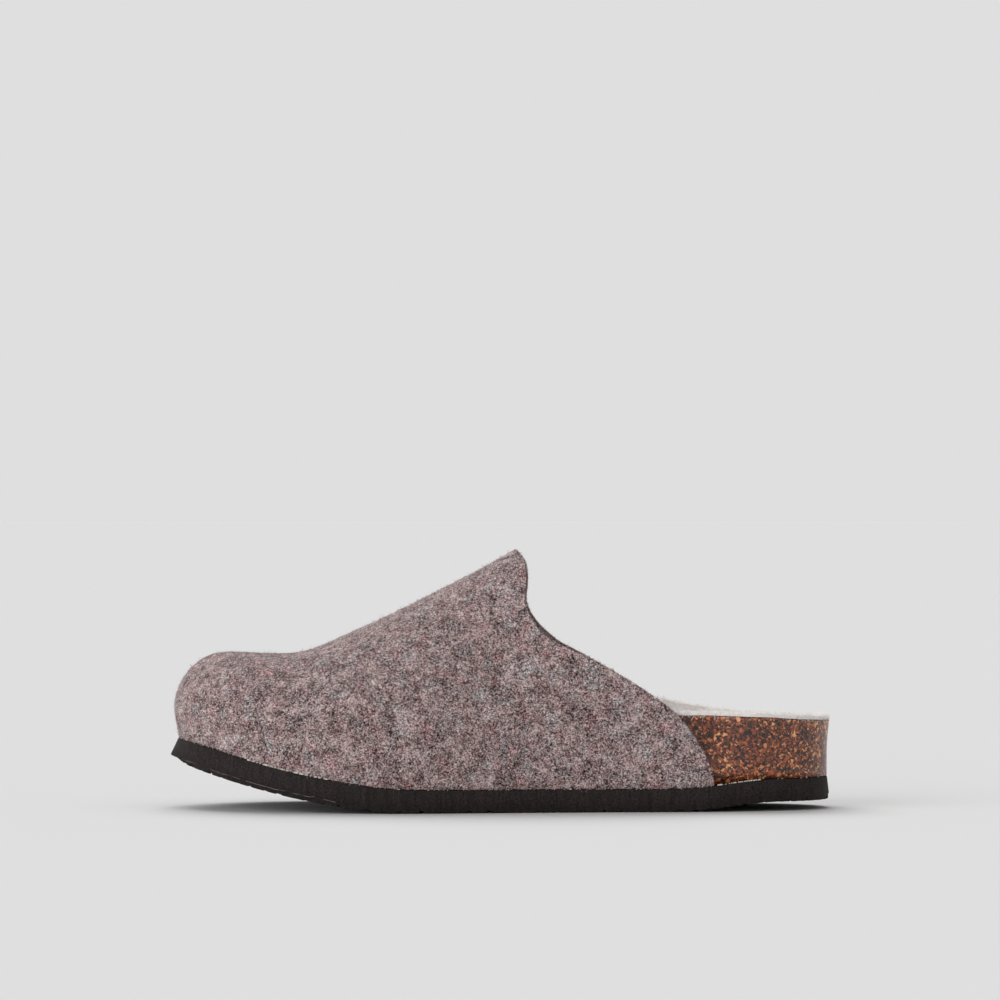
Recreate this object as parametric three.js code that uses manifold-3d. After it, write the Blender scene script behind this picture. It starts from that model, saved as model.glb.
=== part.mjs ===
// Felt clog slipper for the left foot, in millimetres.
// The toe points to -X, the heel to +X, the outer side to -Y, the inner side to +Y, and the floor is z = 0.
// A felt upper, open at the back, is glued round a cork footbed that stands on an EVA outsole.
// A wool pile insole covers the footbed and its rim.

import * as THREE from "three";
import Module from "manifold-3d";

const wasm = await Module();
wasm.setup();

// Plan sizes of the outsole.
const SHOE_LENGTH = 258;
const BALL_WIDTH = 97;
const WAIST_WIDTH = 77;
const HEEL_WIDTH = 69;

// Side sizes of the outsole, measured from the floor.
const TOE_SPRING = 19.4;
const TOE_SPRING_LENGTH = 93;
const TOE_SPRING_POWER = 1.6;
const HEEL_RISE = 3.6;
const HEEL_RISE_START = 62;
const HEEL_RISE_LENGTH = 41;
const HEEL_THICKNESS = 8.8;
const BALL_THICKNESS = 9.6;
const TIP_THICKNESS = 7.8;
const TIP_TAPER_LENGTH = 16;

// Tread: zigzag grooves across the underside, and the low band of the side wall that they run out through.
const TREAD_PITCH = 9;
const TREAD_GROOVE = 2.4;
const TREAD_DEPTH = 1.4;
const TREAD_ZIGZAG = 1.6;
const TREAD_ZIGZAG_STEP = 11;
const TREAD_END_MARGIN = 13;
const TREAD_BAND = 2;
const TREAD_BAND_INSET = 0.5;

// Felt upper.
const FELT = 3.2;
const TOE_BOX_HEIGHT = 39.8;
const INSTEP_HEIGHT = 92.7;
const RIDGE_SIDE = 5;
const THROAT_FROM_HEEL = 122.6;
const COLLAR_END_FROM_HEEL = 46.4;
const RIDGE_FRONT_FROM_TOE = 23;
const CROSS_START_FROM_TOE = 60;
const WALL_BULGE = 2.5;
const FAN_START = 0.35;
const FEATHER_INSET = 0.4;

// Cork footbed, with heights above the top of the outsole.
const RIM_HEIGHT = 22.4;
const ARCH_RIM_HEIGHT = 32;
const BED_HEIGHT = 14.5;
const RIM_FLAT = 2.4;
const RIM_FLARE = 0.9;
const CORK_HEEL_INSET = 0;
const CORK_STEP_LENGTH = 20;
const RIM_CLEARANCE = 0.2;

// Pile insole.
const PILE_BED = 5;
const PILE_RIM = 2.4;
const PILE_EDGE_ROUND = 0.9;

// Glued faces lie this far apart.
const GLUE_GAP = 0.3;

const TOE_X = -SHOE_LENGTH / 2;
const HEEL_X = SHOE_LENGTH / 2;
const THROAT_X = HEEL_X - THROAT_FROM_HEEL;
const COLLAR_END_X = HEEL_X - COLLAR_END_FROM_HEEL;

// Control corners of the plan outline, a smooth closed curve drawn inside them.
// along: share of the length from the heel. side: share of the half width there, outer side negative.
const OUTLINE = [
  { along: 1.03, side: 0.1 },
  { along: 0.975, side: -0.5 },
  { along: 0.85, side: -0.93 },
  { along: 0.7, side: -1.08 },
  { along: 0.56, side: -1.08 },
  { along: 0.42, side: -1.07 },
  { along: 0.27, side: -1.06 },
  { along: 0.12, side: -1.06 },
  { along: 0.01, side: -0.68 },
  { along: -0.02, side: 0 },
  { along: 0.01, side: 0.68 },
  { along: 0.12, side: 1.05 },
  { along: 0.27, side: 0.98 },
  { along: 0.42, side: 0.87 },
  { along: 0.58, side: 0.86 },
  { along: 0.73, side: 1.0 },
  { along: 0.87, side: 1.0 },
  { along: 0.985, side: 0.68 },
];

// Top line of the upper over its ridge.
// rise: 0 at the height of the toe box and 1 at the instep's, above the outsole. side: share of RIDGE_SIDE.
const RIDGE = [
  { along: 0.903, rise: 0, side: 1 },
  { along: 0.86, rise: 0.049, side: 0.9 },
  { along: 0.819, rise: 0.094, side: 0.8 },
  { along: 0.783, rise: 0.168, side: 0.7 },
  { along: 0.746, rise: 0.268, side: 0.6 },
  { along: 0.691, rise: 0.427, side: 0.5 },
  { along: 0.619, rise: 0.622, side: 0.4 },
  { along: 0.546, rise: 0.812, side: 0.3 },
  { along: 0.475, rise: 1, side: 0.2 },
  { along: 0.34, rise: 1.37, side: 0 },
  { along: 0.17, rise: 1.8, side: 0 },
];

// Fullness of the upper's cross-section: 2 is an ellipse, and more is squarer.
// wide fills the shoulders, tall keeps the walls upright, bulge is a share of WALL_BULGE.
const SECTION = [
  { along: 0.95, wide: 2.9, tall: 2.9, bulge: 1 },
  { along: 0.8, wide: 2.7, tall: 2.6, bulge: 0.9 },
  { along: 0.65, wide: 2.3, tall: 2.3, bulge: 0.7 },
  { along: 0.5, wide: 2.0, tall: 2.1, bulge: 0.5 },
  { along: 0.18, wide: 2.0, tall: 2.0, bulge: 0.2 },
];

// The cut edge of the felt, seen from the side.
// up: share of INSTEP_HEIGHT above the outsole. outer, inner: share of the way from throat to collar end.
const COLLAR = [
  { up: 0, outer: 1, inner: 1 },
  { up: 0.05, outer: 0.995, inner: 0.995 },
  { up: 0.13, outer: 0.96, inner: 0.95 },
  { up: 0.205, outer: 0.908, inner: 0.89 },
  { up: 0.285, outer: 0.838, inner: 0.808 },
  { up: 0.35, outer: 0.752, inner: 0.718 },
  { up: 0.455, outer: 0.563, inner: 0.53 },
  { up: 0.53, outer: 0.407, inner: 0.38 },
  { up: 0.597, outer: 0.251, inner: 0.238 },
  { up: 0.636, outer: 0.18, inner: 0.182 },
  { up: 0.675, outer: 0.124, inner: 0.133 },
  { up: 0.708, outer: 0.091, inner: 0.1 },
  { up: 0.742, outer: 0.067, inner: 0.075 },
  { up: 0.79, outer: 0.053, inner: 0.057 },
  { up: 0.873, outer: 0.058, inner: 0.058 },
  { up: 0.94, outer: 0.051, inner: 0.051 },
  { up: 0.976, outer: 0.03, inner: 0.03 },
  { up: 1.0, outer: 0, inner: 0 },
];

// Footbed along the foot. outer, arch: rim heights as shares of RIM_HEIGHT and ARCH_RIM_HEIGHT.
// bed: share of BED_HEIGHT. cup: how sharply the bed turns up into the inner rim.
const FOOTBED = [
  { along: 0, outer: 0.96, arch: 0.672, bed: 1, cup: 5 },
  { along: 0.11, outer: 1.06, arch: 0.68, bed: 1, cup: 5 },
  { along: 0.2, outer: 1.21, arch: 0.85, bed: 1.06, cup: 4 },
  { along: 0.25, outer: 1.23, arch: 0.95, bed: 1.12, cup: 3.2 },
  { along: 0.36, outer: 1.08, arch: 1, bed: 1.14, cup: 2.4 },
  { along: 0.5, outer: 0.8, arch: 0.76, bed: 0.96, cup: 2.4 },
  { along: 0.66, outer: 0.62, arch: 0.47, bed: 0.6, cup: 3.4 },
  { along: 0.82, outer: 0.54, arch: 0.378, bed: 0.48, cup: 4.5 },
  { along: 1, outer: 0.54, arch: 0.378, bed: 0.48, cup: 4.5 },
];
const OUTER_CUP = 5;

// Mesh counts.
const OUTLINE_SAMPLES = 480;
const SOLE_STATIONS = 44;
const BED_STRIPS = 12;
const FAN_STATIONS = 11;
const CROSS_STATIONS = 15;
const ARCH_STRIPS = 15;

const clamp01 = (v) => Math.min(1, Math.max(0, v));
const mix = (a, b, t) => a + (b - a) * t;
const easeInOut = (t) => clamp01(t) ** 2 * (3 - 2 * clamp01(t));
const alongOf = (x) => (HEEL_X - x) / SHOE_LENGTH;

// Reads a table's column as a smooth function of its key, with slopes taken from the neighbouring rows.
function readTable(rows, key, column, at) {
  const last = rows.length - 1;
  const rising = rows[last][key] > rows[0][key];
  const ordered = rising ? rows : [...rows].reverse();
  const v = Math.min(ordered[last][key], Math.max(ordered[0][key], at));
  const i = Math.min(last - 1, Math.max(0, ordered.findIndex((r) => r[key] > v) - 1));
  const near = v >= ordered[last][key] ? last - 1 : i;
  const slope = (n) => {
    const a = ordered[Math.max(0, n - 1)];
    const b = ordered[Math.min(last, n + 1)];
    return (b[column] - a[column]) / (b[key] - a[key]);
  };
  const [p, q] = [ordered[near], ordered[near + 1]];
  const gap = q[key] - p[key];
  const t = (v - p[key]) / gap;
  const bend = t * t * (3 - 2 * t);
  return (
    mix(p[column], q[column], bend) +
    gap * (t * (1 - t) ** 2 * slope(near) - t * t * (1 - t) * slope(near + 1))
  );
}

function halfWidthAt(along) {
  const waist = mix(HEEL_WIDTH, WAIST_WIDTH, easeInOut((along - 0.15) / 0.27));
  return mix(waist, BALL_WIDTH, easeInOut((along - 0.4) / 0.3)) / 2;
}

// A point of the closed uniform cubic curve inside the outline's control corners.
function outlinePoint(turn) {
  const span = turn * OUTLINE.length;
  const first = Math.floor(span);
  const t = span - first;
  const weights = [(1 - t) ** 3, 3 * t ** 3 - 6 * t * t + 4, -3 * t ** 3 + 3 * t * t + 3 * t + 1, t ** 3];
  let along = 0;
  let y = 0;
  weights.forEach((weight, k) => {
    const corner = OUTLINE[(first + k) % OUTLINE.length];
    along += (corner.along * weight) / 6;
    y += (corner.side * halfWidthAt(corner.along) * weight) / 6;
  });
  return [along, y];
}

// The outline stretched to exactly the shoe's length and ball width, centred on the origin.
const plan = (() => {
  const raw = Array.from({ length: OUTLINE_SAMPLES }, (_, i) => outlinePoint(i / OUTLINE_SAMPLES));
  const [alongs, sides] = [0, 1].map((axis) => raw.map((p) => p[axis]));
  const [shortest, longest] = [Math.min(...alongs), Math.max(...alongs)];
  const [left, right] = [Math.min(...sides), Math.max(...sides)];
  return raw.map(([along, y]) => [
    HEEL_X - ((along - shortest) / (longest - shortest)) * SHOE_LENGTH,
    ((y - (left + right) / 2) / (right - left)) * BALL_WIDTH,
  ]);
})();

const springShare = (x) => clamp01((TOE_X + TOE_SPRING_LENGTH - x) / TOE_SPRING_LENGTH);
const springSlope = (x) =>
  ((TOE_SPRING * TOE_SPRING_POWER) / TOE_SPRING_LENGTH) * springShare(x) ** (TOE_SPRING_POWER - 1);

// Height of the outsole's underside and of its upper face.
function underside(x) {
  const toe = TOE_SPRING * springShare(x) ** TOE_SPRING_POWER;
  return toe + HEEL_RISE * easeInOut((x - HEEL_X + HEEL_RISE_START) / HEEL_RISE_LENGTH);
}

// The outsole is a bent sheet, so its thickness is measured square to its slope.
function soleThickness(x) {
  const ball = mix(HEEL_THICKNESS, BALL_THICKNESS, easeInOut((alongOf(x) - 0.56) / 0.22));
  return mix(ball, TIP_THICKNESS, easeInOut((TOE_X + TIP_TAPER_LENGTH - x) / TIP_TAPER_LENGTH));
}

const soleTop = (x) => underside(x) + soleThickness(x) * Math.hypot(1, springSlope(x));
const leanAt = (x) => (soleThickness(x) * springSlope(x)) / Math.hypot(1, springSlope(x));

// The outline moved inwards by inset(x) and leaned back at the toe by a share of the bent sheet's lean,
// as its outer and its inner half, each from the toe's tip to the back of the heel.
function planHalves(inset, lean) {
  const moved = plan.map(([x, y], i) => {
    const before = plan[(i + OUTLINE_SAMPLES - 1) % OUTLINE_SAMPLES];
    const after = plan[(i + 1) % OUTLINE_SAMPLES];
    const [dx, dy] = [after[0] - before[0], after[1] - before[1]];
    const size = Math.hypot(dx, dy);
    const out = [dy / size, -dx / size];
    const depth = inset(x, y < 0 ? "outer" : "inner");
    return { x: x - out[0] * depth + lean * leanAt(x), y: y - out[1] * depth, out };
  });
  const best = (sign) => moved.reduce((m, p, i) => (sign * p.x > sign * moved[m].x ? i : m), 0);
  const [toe, heel] = [best(-1), best(1)];
  const walk = (step) => {
    const half = [moved[toe]];
    for (let i = toe; i !== heel; ) {
      i = (i + step + OUTLINE_SAMPLES) % OUTLINE_SAMPLES;
      half.push(moved[i]);
    }
    return half;
  };
  const [a, b] = [walk(1), walk(-1)];
  return a[a.length >> 1].y < b[b.length >> 1].y ? { outer: a, inner: b } : { outer: b, inner: a };
}

// The point of a half where a measure that grows from toe to heel reaches a value.
function pointWhere(half, measure, value) {
  let low = 0;
  let high = half.length - 1;
  while (high - low > 1) {
    const middle = (low + high) >> 1;
    if (measure(half[middle], middle) <= value) low = middle;
    else high = middle;
  }
  const [a, b] = [half[low], half[high]];
  const [ma, mb] = [measure(a, low), measure(b, high)];
  const t = clamp01((value - ma) / (mb - ma || 1));
  const out = new THREE.Vector2(mix(a.out[0], b.out[0], t), mix(a.out[1], b.out[1], t)).normalize();
  return { x: mix(a.x, b.x, t), y: mix(a.y, b.y, t), out: [out.x, out.y] };
}

const pointAtX = (half, x) => pointWhere(half, (p) => p.x, x);

// The upper's outer face is made of ribs, each from the feather line at the sole up to the ridge.
const feather = planHalves(() => FEATHER_INSET, 1);
const featherTip = feather.outer[0].x;
const ridgeFront = featherTip + RIDGE_FRONT_FROM_TOE;
const crossStart = featherTip + CROSS_START_FROM_TOE;

function ridgePoint(x) {
  const along = alongOf(x);
  const rise = readTable(RIDGE, "along", "rise", along);
  const height = mix(TOE_BOX_HEIGHT, INSTEP_HEIGHT, rise);
  return [x, RIDGE_SIDE * readTable(RIDGE, "along", "side", along), soleTop(x) + height];
}

// Lengths along each half of the feather line, from the toe's tip.
const runs = Object.fromEntries(
  Object.entries(feather).map(([side, half]) => {
    let run = 0;
    const lengths = half.map((p, i) => (run += i ? Math.hypot(p.x - half[i - 1].x, p.y - half[i - 1].y) : 0));
    return [side, lengths];
  }),
);

// Round the toe the ribs fan out from the front of the ridge, and behind it they run straight across.
// turn is 0 at the tip and 1 where the fan ends.
const fanEnd = (side) => feather[side].findIndex((p) => p.x >= crossStart);

function fanStation(side, turn) {
  const length = runs[side][fanEnd(side)];
  const foot = pointWhere(feather[side], (_, i) => runs[side][i], turn * length);
  const power = (length / (crossStart - ridgeFront) - FAN_START) / (1 - FAN_START);
  const ridgeShare = FAN_START * turn + (1 - FAN_START) * turn ** power;
  return { foot, ridge: ridgePoint(mix(ridgeFront, crossStart, ridgeShare)) };
}

const crossStation = (side, x) => ({ foot: pointAtX(feather[side], x), ridge: ridgePoint(x) });

// A point of the rib: climb is 0 at the sole and 1 on the ridge.
function ribPoint({ foot, ridge }, climb) {
  const along = alongOf(foot.x);
  const wide = readTable(SECTION, "along", "wide", along);
  const tall = readTable(SECTION, "along", "tall", along);
  const bulge = WALL_BULGE * readTable(SECTION, "along", "bulge", along);
  const angle = (climb * Math.PI) / 2;
  const inwards = climb === 1 ? 1 : 1 - Math.cos(angle) ** (2 / wide);
  const upwards = Math.sin(angle) ** (2 / tall);
  const swell = bulge * Math.sin(Math.PI * clamp01(upwards)) ** 1.2;
  const base = soleTop(foot.x) + GLUE_GAP;
  return [
    mix(foot.x, ridge[0], inwards) + foot.out[0] * swell,
    mix(foot.y, ridge[1], inwards) + foot.out[1] * swell,
    mix(base, ridge[2], upwards),
  ];
}

// How far the felt's outer face stands out from its foot, at a height above the outsole.
function feltLean(side, x, height) {
  const half = feather[side];
  const reach = half.findIndex((p) => p.x >= x);
  const fan = reach <= fanEnd(side);
  const station = fan ? fanStation(side, runs[side][Math.max(0, reach)] / runs[side][fanEnd(side)]) : crossStation(side, x);
  let [low, high] = [0, 1];
  for (let i = 0; i < 30; i++) {
    const climb = (low + high) / 2;
    if (ribPoint(station, climb)[2] > soleTop(station.foot.x) + GLUE_GAP + height) high = climb;
    else low = climb;
  }
  const [px, py] = ribPoint(station, low);
  return (px - station.foot.x) * station.foot.out[0] + (py - station.foot.y) * station.foot.out[1];
}

// A closed surface under construction. Corners at the same place are one corner.
class Skin {
  corners = [];
  faces = [];
  known = new Map();

  corner([x, y, z]) {
    const name = [x, y, z].map((v) => Math.round(v * 2000)).join();
    if (!this.known.has(name)) {
      this.known.set(name, this.corners.length / 3);
      this.corners.push(x, y, z);
    }
    return this.known.get(name);
  }

  triangle(a, b, c) {
    if (a !== b && b !== c && c !== a) this.faces.push(a, b, c);
  }

  // Fills the strips between neighbouring rows of points, each patch split along its shorter diagonal.
  loft(rows, reversed = false) {
    const apart = (p, q) => Math.hypot(p[0] - q[0], p[1] - q[1], p[2] - q[2]);
    for (let i = 0; i + 1 < rows.length; i++) {
      for (let j = 0; j + 1 < rows[i].length; j++) {
        const patch = [rows[i][j], rows[i + 1][j], rows[i + 1][j + 1], rows[i][j + 1]];
        const turned = apart(patch[1], patch[3]) < apart(patch[0], patch[2]) - 1e-6 ? 1 : 0;
        const names = patch.map((p) => this.corner(p));
        if (reversed) names.reverse();
        const [a, b, c, d] = names.map((_, k) => names[(k + (reversed ? 1 - turned : turned)) % 4]);
        this.triangle(a, b, c);
        this.triangle(a, c, d);
      }
    }
  }

  solid() {
    const [vertProperties, triVerts] = [new Float32Array(this.corners), new Uint32Array(this.faces)];
    return new wasm.Manifold(new wasm.Mesh({ numProp: 3, vertProperties, triVerts }));
  }
}

function geometryOf(solid) {
  const mesh = solid.getMesh();
  const geometry = new THREE.BufferGeometry();
  geometry.setAttribute("position", new THREE.BufferAttribute(mesh.vertProperties, 3));
  geometry.setIndex(new THREE.BufferAttribute(mesh.triVerts, 1));
  return geometry;
}

// Stations from tip to heel, close together where the outline turns at the ends.
const stationShare = (i) => (1 - Math.cos((Math.PI * i) / SOLE_STATIONS)) / 2;

// One level of a sole piece: its outer and inner edge at each station.
function edgeLevel(inset, lean, height) {
  const halves = planHalves(inset, lean);
  const [tip, heel] = [halves.outer[0].x, halves.outer[halves.outer.length - 1].x];
  return Array.from({ length: SOLE_STATIONS + 1 }, (_, i) => {
    const x = mix(tip, heel, stationShare(i));
    const [outer, inner] = [pointAtX(halves.outer, x), pointAtX(halves.inner, x)];
    const [outerZ, innerZ] = [height(x, "outer"), height(x, "inner")];
    const end = i === 0 || i === SOLE_STATIONS;
    const middle = [x, (outer.y + inner.y) / 2, (outerZ + innerZ) / 2];
    return end
      ? { outer: middle, inner: middle }
      : { outer: [x, outer.y, outerZ], inner: [x, inner.y, innerZ] };
  });
}

// Points across a face between a level's two edges. shape gives a height from x and a share from -1 to 1.
function across(edge, strips, shape) {
  const [y0, y1] = [edge.outer[1], edge.inner[1]];
  return Array.from({ length: strips + 1 }, (_, j) => {
    if (y0 === y1) return edge.outer;
    const share = -Math.cos((Math.PI * j) / strips);
    return [edge.outer[0], mix(y0, y1, (share + 1) / 2), shape(edge.outer[0], share)];
  });
}

// Joins levels, listed from the top edge down to the bottom edge, into one closed sole piece.
function solePiece(levels, topStrips, topShape, bottomStrips, bottomShape) {
  const skin = new Skin();
  const [top, bottom] = [levels[0], levels[levels.length - 1]];
  const loops = top.map((edge, i) => [
    ...across(edge, topStrips, topShape),
    ...levels.slice(1, -1).map((level) => level[i].inner),
    ...across(bottom[i], bottomStrips, bottomShape).reverse(),
    ...levels.slice(1, -1).map((level) => level[i].outer).reverse(),
    across(edge, topStrips, topShape)[0],
  ]);
  skin.loft(loops);
  return skin.solid();
}

// A zigzag groove across the underside at x = middle, following its height.
function treadGroove(middle) {
  const steps = Math.ceil((BALL_WIDTH + TREAD_ZIGZAG_STEP) / TREAD_ZIGZAG_STEP);
  const rows = Array.from({ length: steps + 1 }, (_, i) => {
    const y = (i - steps / 2) * TREAD_ZIGZAG_STEP;
    const centre = middle + (i % 2 ? TREAD_ZIGZAG : -TREAD_ZIGZAG);
    const [front, back] = [centre - TREAD_GROOVE / 2, centre + TREAD_GROOVE / 2];
    const below = -TREAD_DEPTH;
    return [
      [front, y, below],
      [back, y, below],
      [back, y, underside(back) + TREAD_DEPTH],
      [front, y, underside(front) + TREAD_DEPTH],
      [front, y, below],
    ];
  });
  const skin = new Skin();
  skin.loft(rows);
  const [start, end] = [rows[0], rows[steps]];
  skin.loft([start.slice(0, 2), [start[3], start[2]]], true);
  skin.loft([end.slice(0, 2), [end[3], end[2]]]);
  return skin.solid();
}

function makeOutsole() {
  const flush = () => 0;
  const levels = [
    edgeLevel(flush, 1, soleTop),
    edgeLevel(flush, 0.25, (x) => underside(x) + TREAD_BAND),
    edgeLevel(() => TREAD_BAND_INSET, 0.25, (x) => underside(x) + TREAD_BAND),
    edgeLevel(() => TREAD_BAND_INSET, 0, underside),
  ];
  let solid = solePiece(levels, 1, soleTop, 1, underside);
  const run = SHOE_LENGTH - 2 * TREAD_END_MARGIN;
  const grooves = Math.floor(run / TREAD_PITCH);
  for (let i = 0; i <= grooves; i++) {
    const middle = (i - grooves / 2) * TREAD_PITCH;
    solid = solid.subtract(treadGroove(middle));
  }
  return solid;
}

// How near a point of the footbed is to its rim, from 0 in the middle to 1 at the edge.
// share runs across the foot, from -1 at the outer edge to 1 at the inner.
function rimShare(x, share, cup) {
  const inwards = clamp01(Math.abs(share) / (1 - (2 * RIM_FLAT) / HEEL_WIDTH));
  const fromEnd = Math.min(alongOf(x), 1 - alongOf(x)) * SHOE_LENGTH;
  const nearTip = easeInOut(1 - (2 * fromEnd) / HEEL_WIDTH);
  return 1 - (1 - inwards ** cup) * (1 - nearTip ** 2);
}

// Height of the cork's upper face.
function corkTop(x, share) {
  const row = (column) => readTable(FOOTBED, "along", column, alongOf(x));
  const outer = share < 0;
  const rim = outer ? RIM_HEIGHT * row("outer") : ARCH_RIM_HEIGHT * row("arch");
  const cup = outer ? OUTER_CUP : row("cup");
  return soleTop(x) + GLUE_GAP + mix(BED_HEIGHT * row("bed"), rim, rimShare(x, share, cup));
}

const corkSide = (x, edge) => corkTop(x, edge === "outer" ? -1 : 1);

// How far the cork stands in from the outsole's edge: against the felt's inner face, then flush behind it.
const flareShare = (x) => easeInOut((x - COLLAR_END_X) / CORK_STEP_LENGTH);
const insideFelt = FEATHER_INSET + FELT + GLUE_GAP;
const corkBaseInset = (x) => mix(insideFelt, CORK_HEEL_INSET + RIM_FLARE, flareShare(x));

function corkRimInset(x, side) {
  const lean = feltLean(side, x, corkSide(x, side) - soleTop(x) + PILE_RIM);
  return mix(insideFelt + RIM_CLEARANCE - lean, CORK_HEEL_INSET, flareShare(x));
}

function makeFootbed() {
  const base = (x) => soleTop(x) + GLUE_GAP;
  const partWay = (share) => (x, edge) => mix(base(x), corkSide(x, edge), share);
  const levels = [
    edgeLevel(corkRimInset, 1, corkSide),
    edgeLevel((x, side) => mix(corkBaseInset(x), corkRimInset(x, side), 0.45), 1, partWay(0.8)),
    edgeLevel(corkBaseInset, 1, partWay(0.45)),
    edgeLevel(corkBaseInset, 1, base),
  ];
  return solePiece(levels, BED_STRIPS, corkTop, 1, base);
}

function makeInsole() {
  const under = (x, share) => corkTop(x, share) + GLUE_GAP;
  const over = (x, share) => under(x, share) + mix(PILE_BED, PILE_RIM, rimShare(x, share, OUTER_CUP));
  const rim = (thick) => (x, edge) => under(x, edge === "outer" ? -1 : 1) + thick;
  const levels = [
    edgeLevel((x, side) => corkRimInset(x, side) + PILE_EDGE_ROUND, 1, rim(PILE_RIM)),
    edgeLevel(corkRimInset, 1, rim(PILE_RIM * 0.55)),
    edgeLevel(corkRimInset, 1, rim(0)),
  ];
  return solePiece(levels, BED_STRIPS, over, BED_STRIPS, under);
}

// Where the felt is cut at a given height, on one side.
function collarX(side, z) {
  const up = (z - soleTop(0) - GLUE_GAP) / (INSTEP_HEIGHT - GLUE_GAP);
  return mix(THROAT_X, COLLAR_END_X, readTable(COLLAR, "up", side, clamp01(up)));
}

// The station at which the line of this climb meets the collar.
function collarStation(side, climb) {
  let [low, high] = [crossStart, HEEL_X];
  for (let i = 0; i < 40; i++) {
    const x = (low + high) / 2;
    const [px, , pz] = ribPoint(crossStation(side, x), climb);
    if (px > collarX(side, pz)) high = x;
    else low = x;
  }
  return (low + high) / 2;
}

// Rows over the foot from the outer feather line to the inner, the first folded flat at the toe's tip.
function upperRows() {
  const climbs = Array.from({ length: ARCH_STRIPS + 1 }, (_, j) => j / ARCH_STRIPS);
  const ends = { outer: climbs.map((c) => collarStation("outer", c)), inner: climbs.map((c) => collarStation("inner", c)) };
  const topEnd = (ends.outer[ARCH_STRIPS] + ends.inner[ARCH_STRIPS]) / 2;
  ends.outer[ARCH_STRIPS] = ends.inner[ARCH_STRIPS] = topEnd;
  const half = (side, i) =>
    climbs.map((climb, j) => {
      if (i <= FAN_STATIONS) return ribPoint(fanStation(side, i / FAN_STATIONS), climb);
      const way = (i - FAN_STATIONS) / CROSS_STATIONS;
      return ribPoint(crossStation(side, mix(crossStart, ends[side][j], way)), climb);
    });
  return Array.from({ length: FAN_STATIONS + CROSS_STATIONS + 1 }, (_, i) => [
    ...half("outer", i),
    ...half("inner", i).reverse().slice(1),
  ]);
}

// The inner face: each point moved in by the felt's thickness along the face's normal.
function insideRows(rows) {
  const point = (i, j) => new THREE.Vector3(...rows[i][j]);
  const last = rows.length - 1;
  const width = rows[0].length - 1;
  return rows.map((row, i) =>
    row.map((corner, j) => {
      const fold = i === 0;
      const ridgeTip = fold && j === width / 2;
      const before = fold ? point(1, width - j) : point(i - 1, j);
      const forwards = point(Math.min(i + 1, last), j).sub(before);
      const under = fold && j > width / 2 ? -1 : 1;
      const left = ridgeTip ? point(1, j - 1) : point(i, Math.max(0, j - 1));
      const right = ridgeTip ? point(1, j + 1) : point(i, Math.min(width, j + 1));
      const sideways = right.sub(left).multiplyScalar(under);
      if (ridgeTip) forwards.copy(point(1, j).sub(point(0, j)));
      if (fold && !ridgeTip) forwards.multiplyScalar(under);
      const normal = sideways.cross(forwards).normalize();
      const inside = new THREE.Vector3(...corner).addScaledVector(normal, FELT);
      const edge = j === 0 || j === width;
      return [inside.x, inside.y, edge ? soleTop(inside.x) + GLUE_GAP : inside.z];
    }),
  );
}

function makeUpper() {
  const outside = upperRows();
  const inside = insideRows(outside);
  const last = outside.length - 1;
  const width = outside[0].length - 1;
  const column = (rows, j) => rows.map((row) => row[j]);
  const skin = new Skin();
  skin.loft(outside);
  skin.loft(inside, true);
  skin.loft([outside[last], inside[last]]);
  skin.loft([column(inside, 0), column(outside, 0)], true);
  skin.loft([column(outside, width), column(inside, width)], true);
  return skin.solid();
}

const shoe = new THREE.Group();

function addPiece(name, solid, colour, roughness) {
  const material = new THREE.MeshStandardMaterial({ color: colour, roughness, metalness: 0 });
  const mesh = new THREE.Mesh(geometryOf(solid), material);
  mesh.name = name;
  shoe.add(mesh);
}

addPiece("outsole", makeOutsole(), "#2c2624", 0.85);
addPiece("cork_footbed", makeFootbed(), "#6f4431", 0.5);
addPiece("pile_insole", makeInsole(), "#ddd3cb", 1);
addPiece("felt_upper", makeUpper(), "#8c7d7d", 1);

export default shoe;
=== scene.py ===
"""Felt clog slipper for the left foot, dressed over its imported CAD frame.

The frame is in metres. The shape functions below work in millimetres, from the same named sizes and tables
as the CAD, and a mesh is turned to metres when it is made.
"""

import math

import bmesh
import bpy
import numpy as np
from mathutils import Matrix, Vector, noise


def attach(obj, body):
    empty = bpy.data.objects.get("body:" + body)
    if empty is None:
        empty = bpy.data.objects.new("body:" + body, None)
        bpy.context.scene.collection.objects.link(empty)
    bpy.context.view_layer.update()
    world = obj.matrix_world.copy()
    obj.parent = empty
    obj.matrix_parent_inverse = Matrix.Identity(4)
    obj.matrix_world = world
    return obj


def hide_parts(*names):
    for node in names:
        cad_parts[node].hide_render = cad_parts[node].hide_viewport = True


bl_info = {
    "name": "Felt clog slipper",
    "version": (1, 0, 0),
    "blender": (4, 5, 0),
    "location": "View3D > Sidebar > Clog",
    "description": "Builds the felt, cork, pile and outsole of a clog slipper over its CAD frame",
    "category": "Object",
}

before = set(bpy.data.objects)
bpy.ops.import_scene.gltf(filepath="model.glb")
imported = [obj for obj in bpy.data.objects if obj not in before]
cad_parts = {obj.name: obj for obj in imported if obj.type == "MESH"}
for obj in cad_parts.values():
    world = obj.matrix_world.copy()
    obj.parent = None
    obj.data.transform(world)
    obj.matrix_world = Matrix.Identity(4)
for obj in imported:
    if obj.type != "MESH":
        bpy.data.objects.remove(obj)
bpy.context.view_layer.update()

# Sizes in millimetres, as in the CAD.
SHOE_LENGTH = 258.0
BALL_WIDTH = 97.0
WAIST_WIDTH = 77.0
HEEL_WIDTH = 69.0
TOE_SPRING = 19.4
TOE_SPRING_LENGTH = 93.0
TOE_SPRING_POWER = 1.6
HEEL_RISE = 3.6
HEEL_RISE_START = 62.0
HEEL_RISE_LENGTH = 41.0
HEEL_THICKNESS = 8.8
BALL_THICKNESS = 9.6
TIP_THICKNESS = 7.8
TIP_TAPER_LENGTH = 16.0
TREAD_PITCH = 9.0
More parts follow.
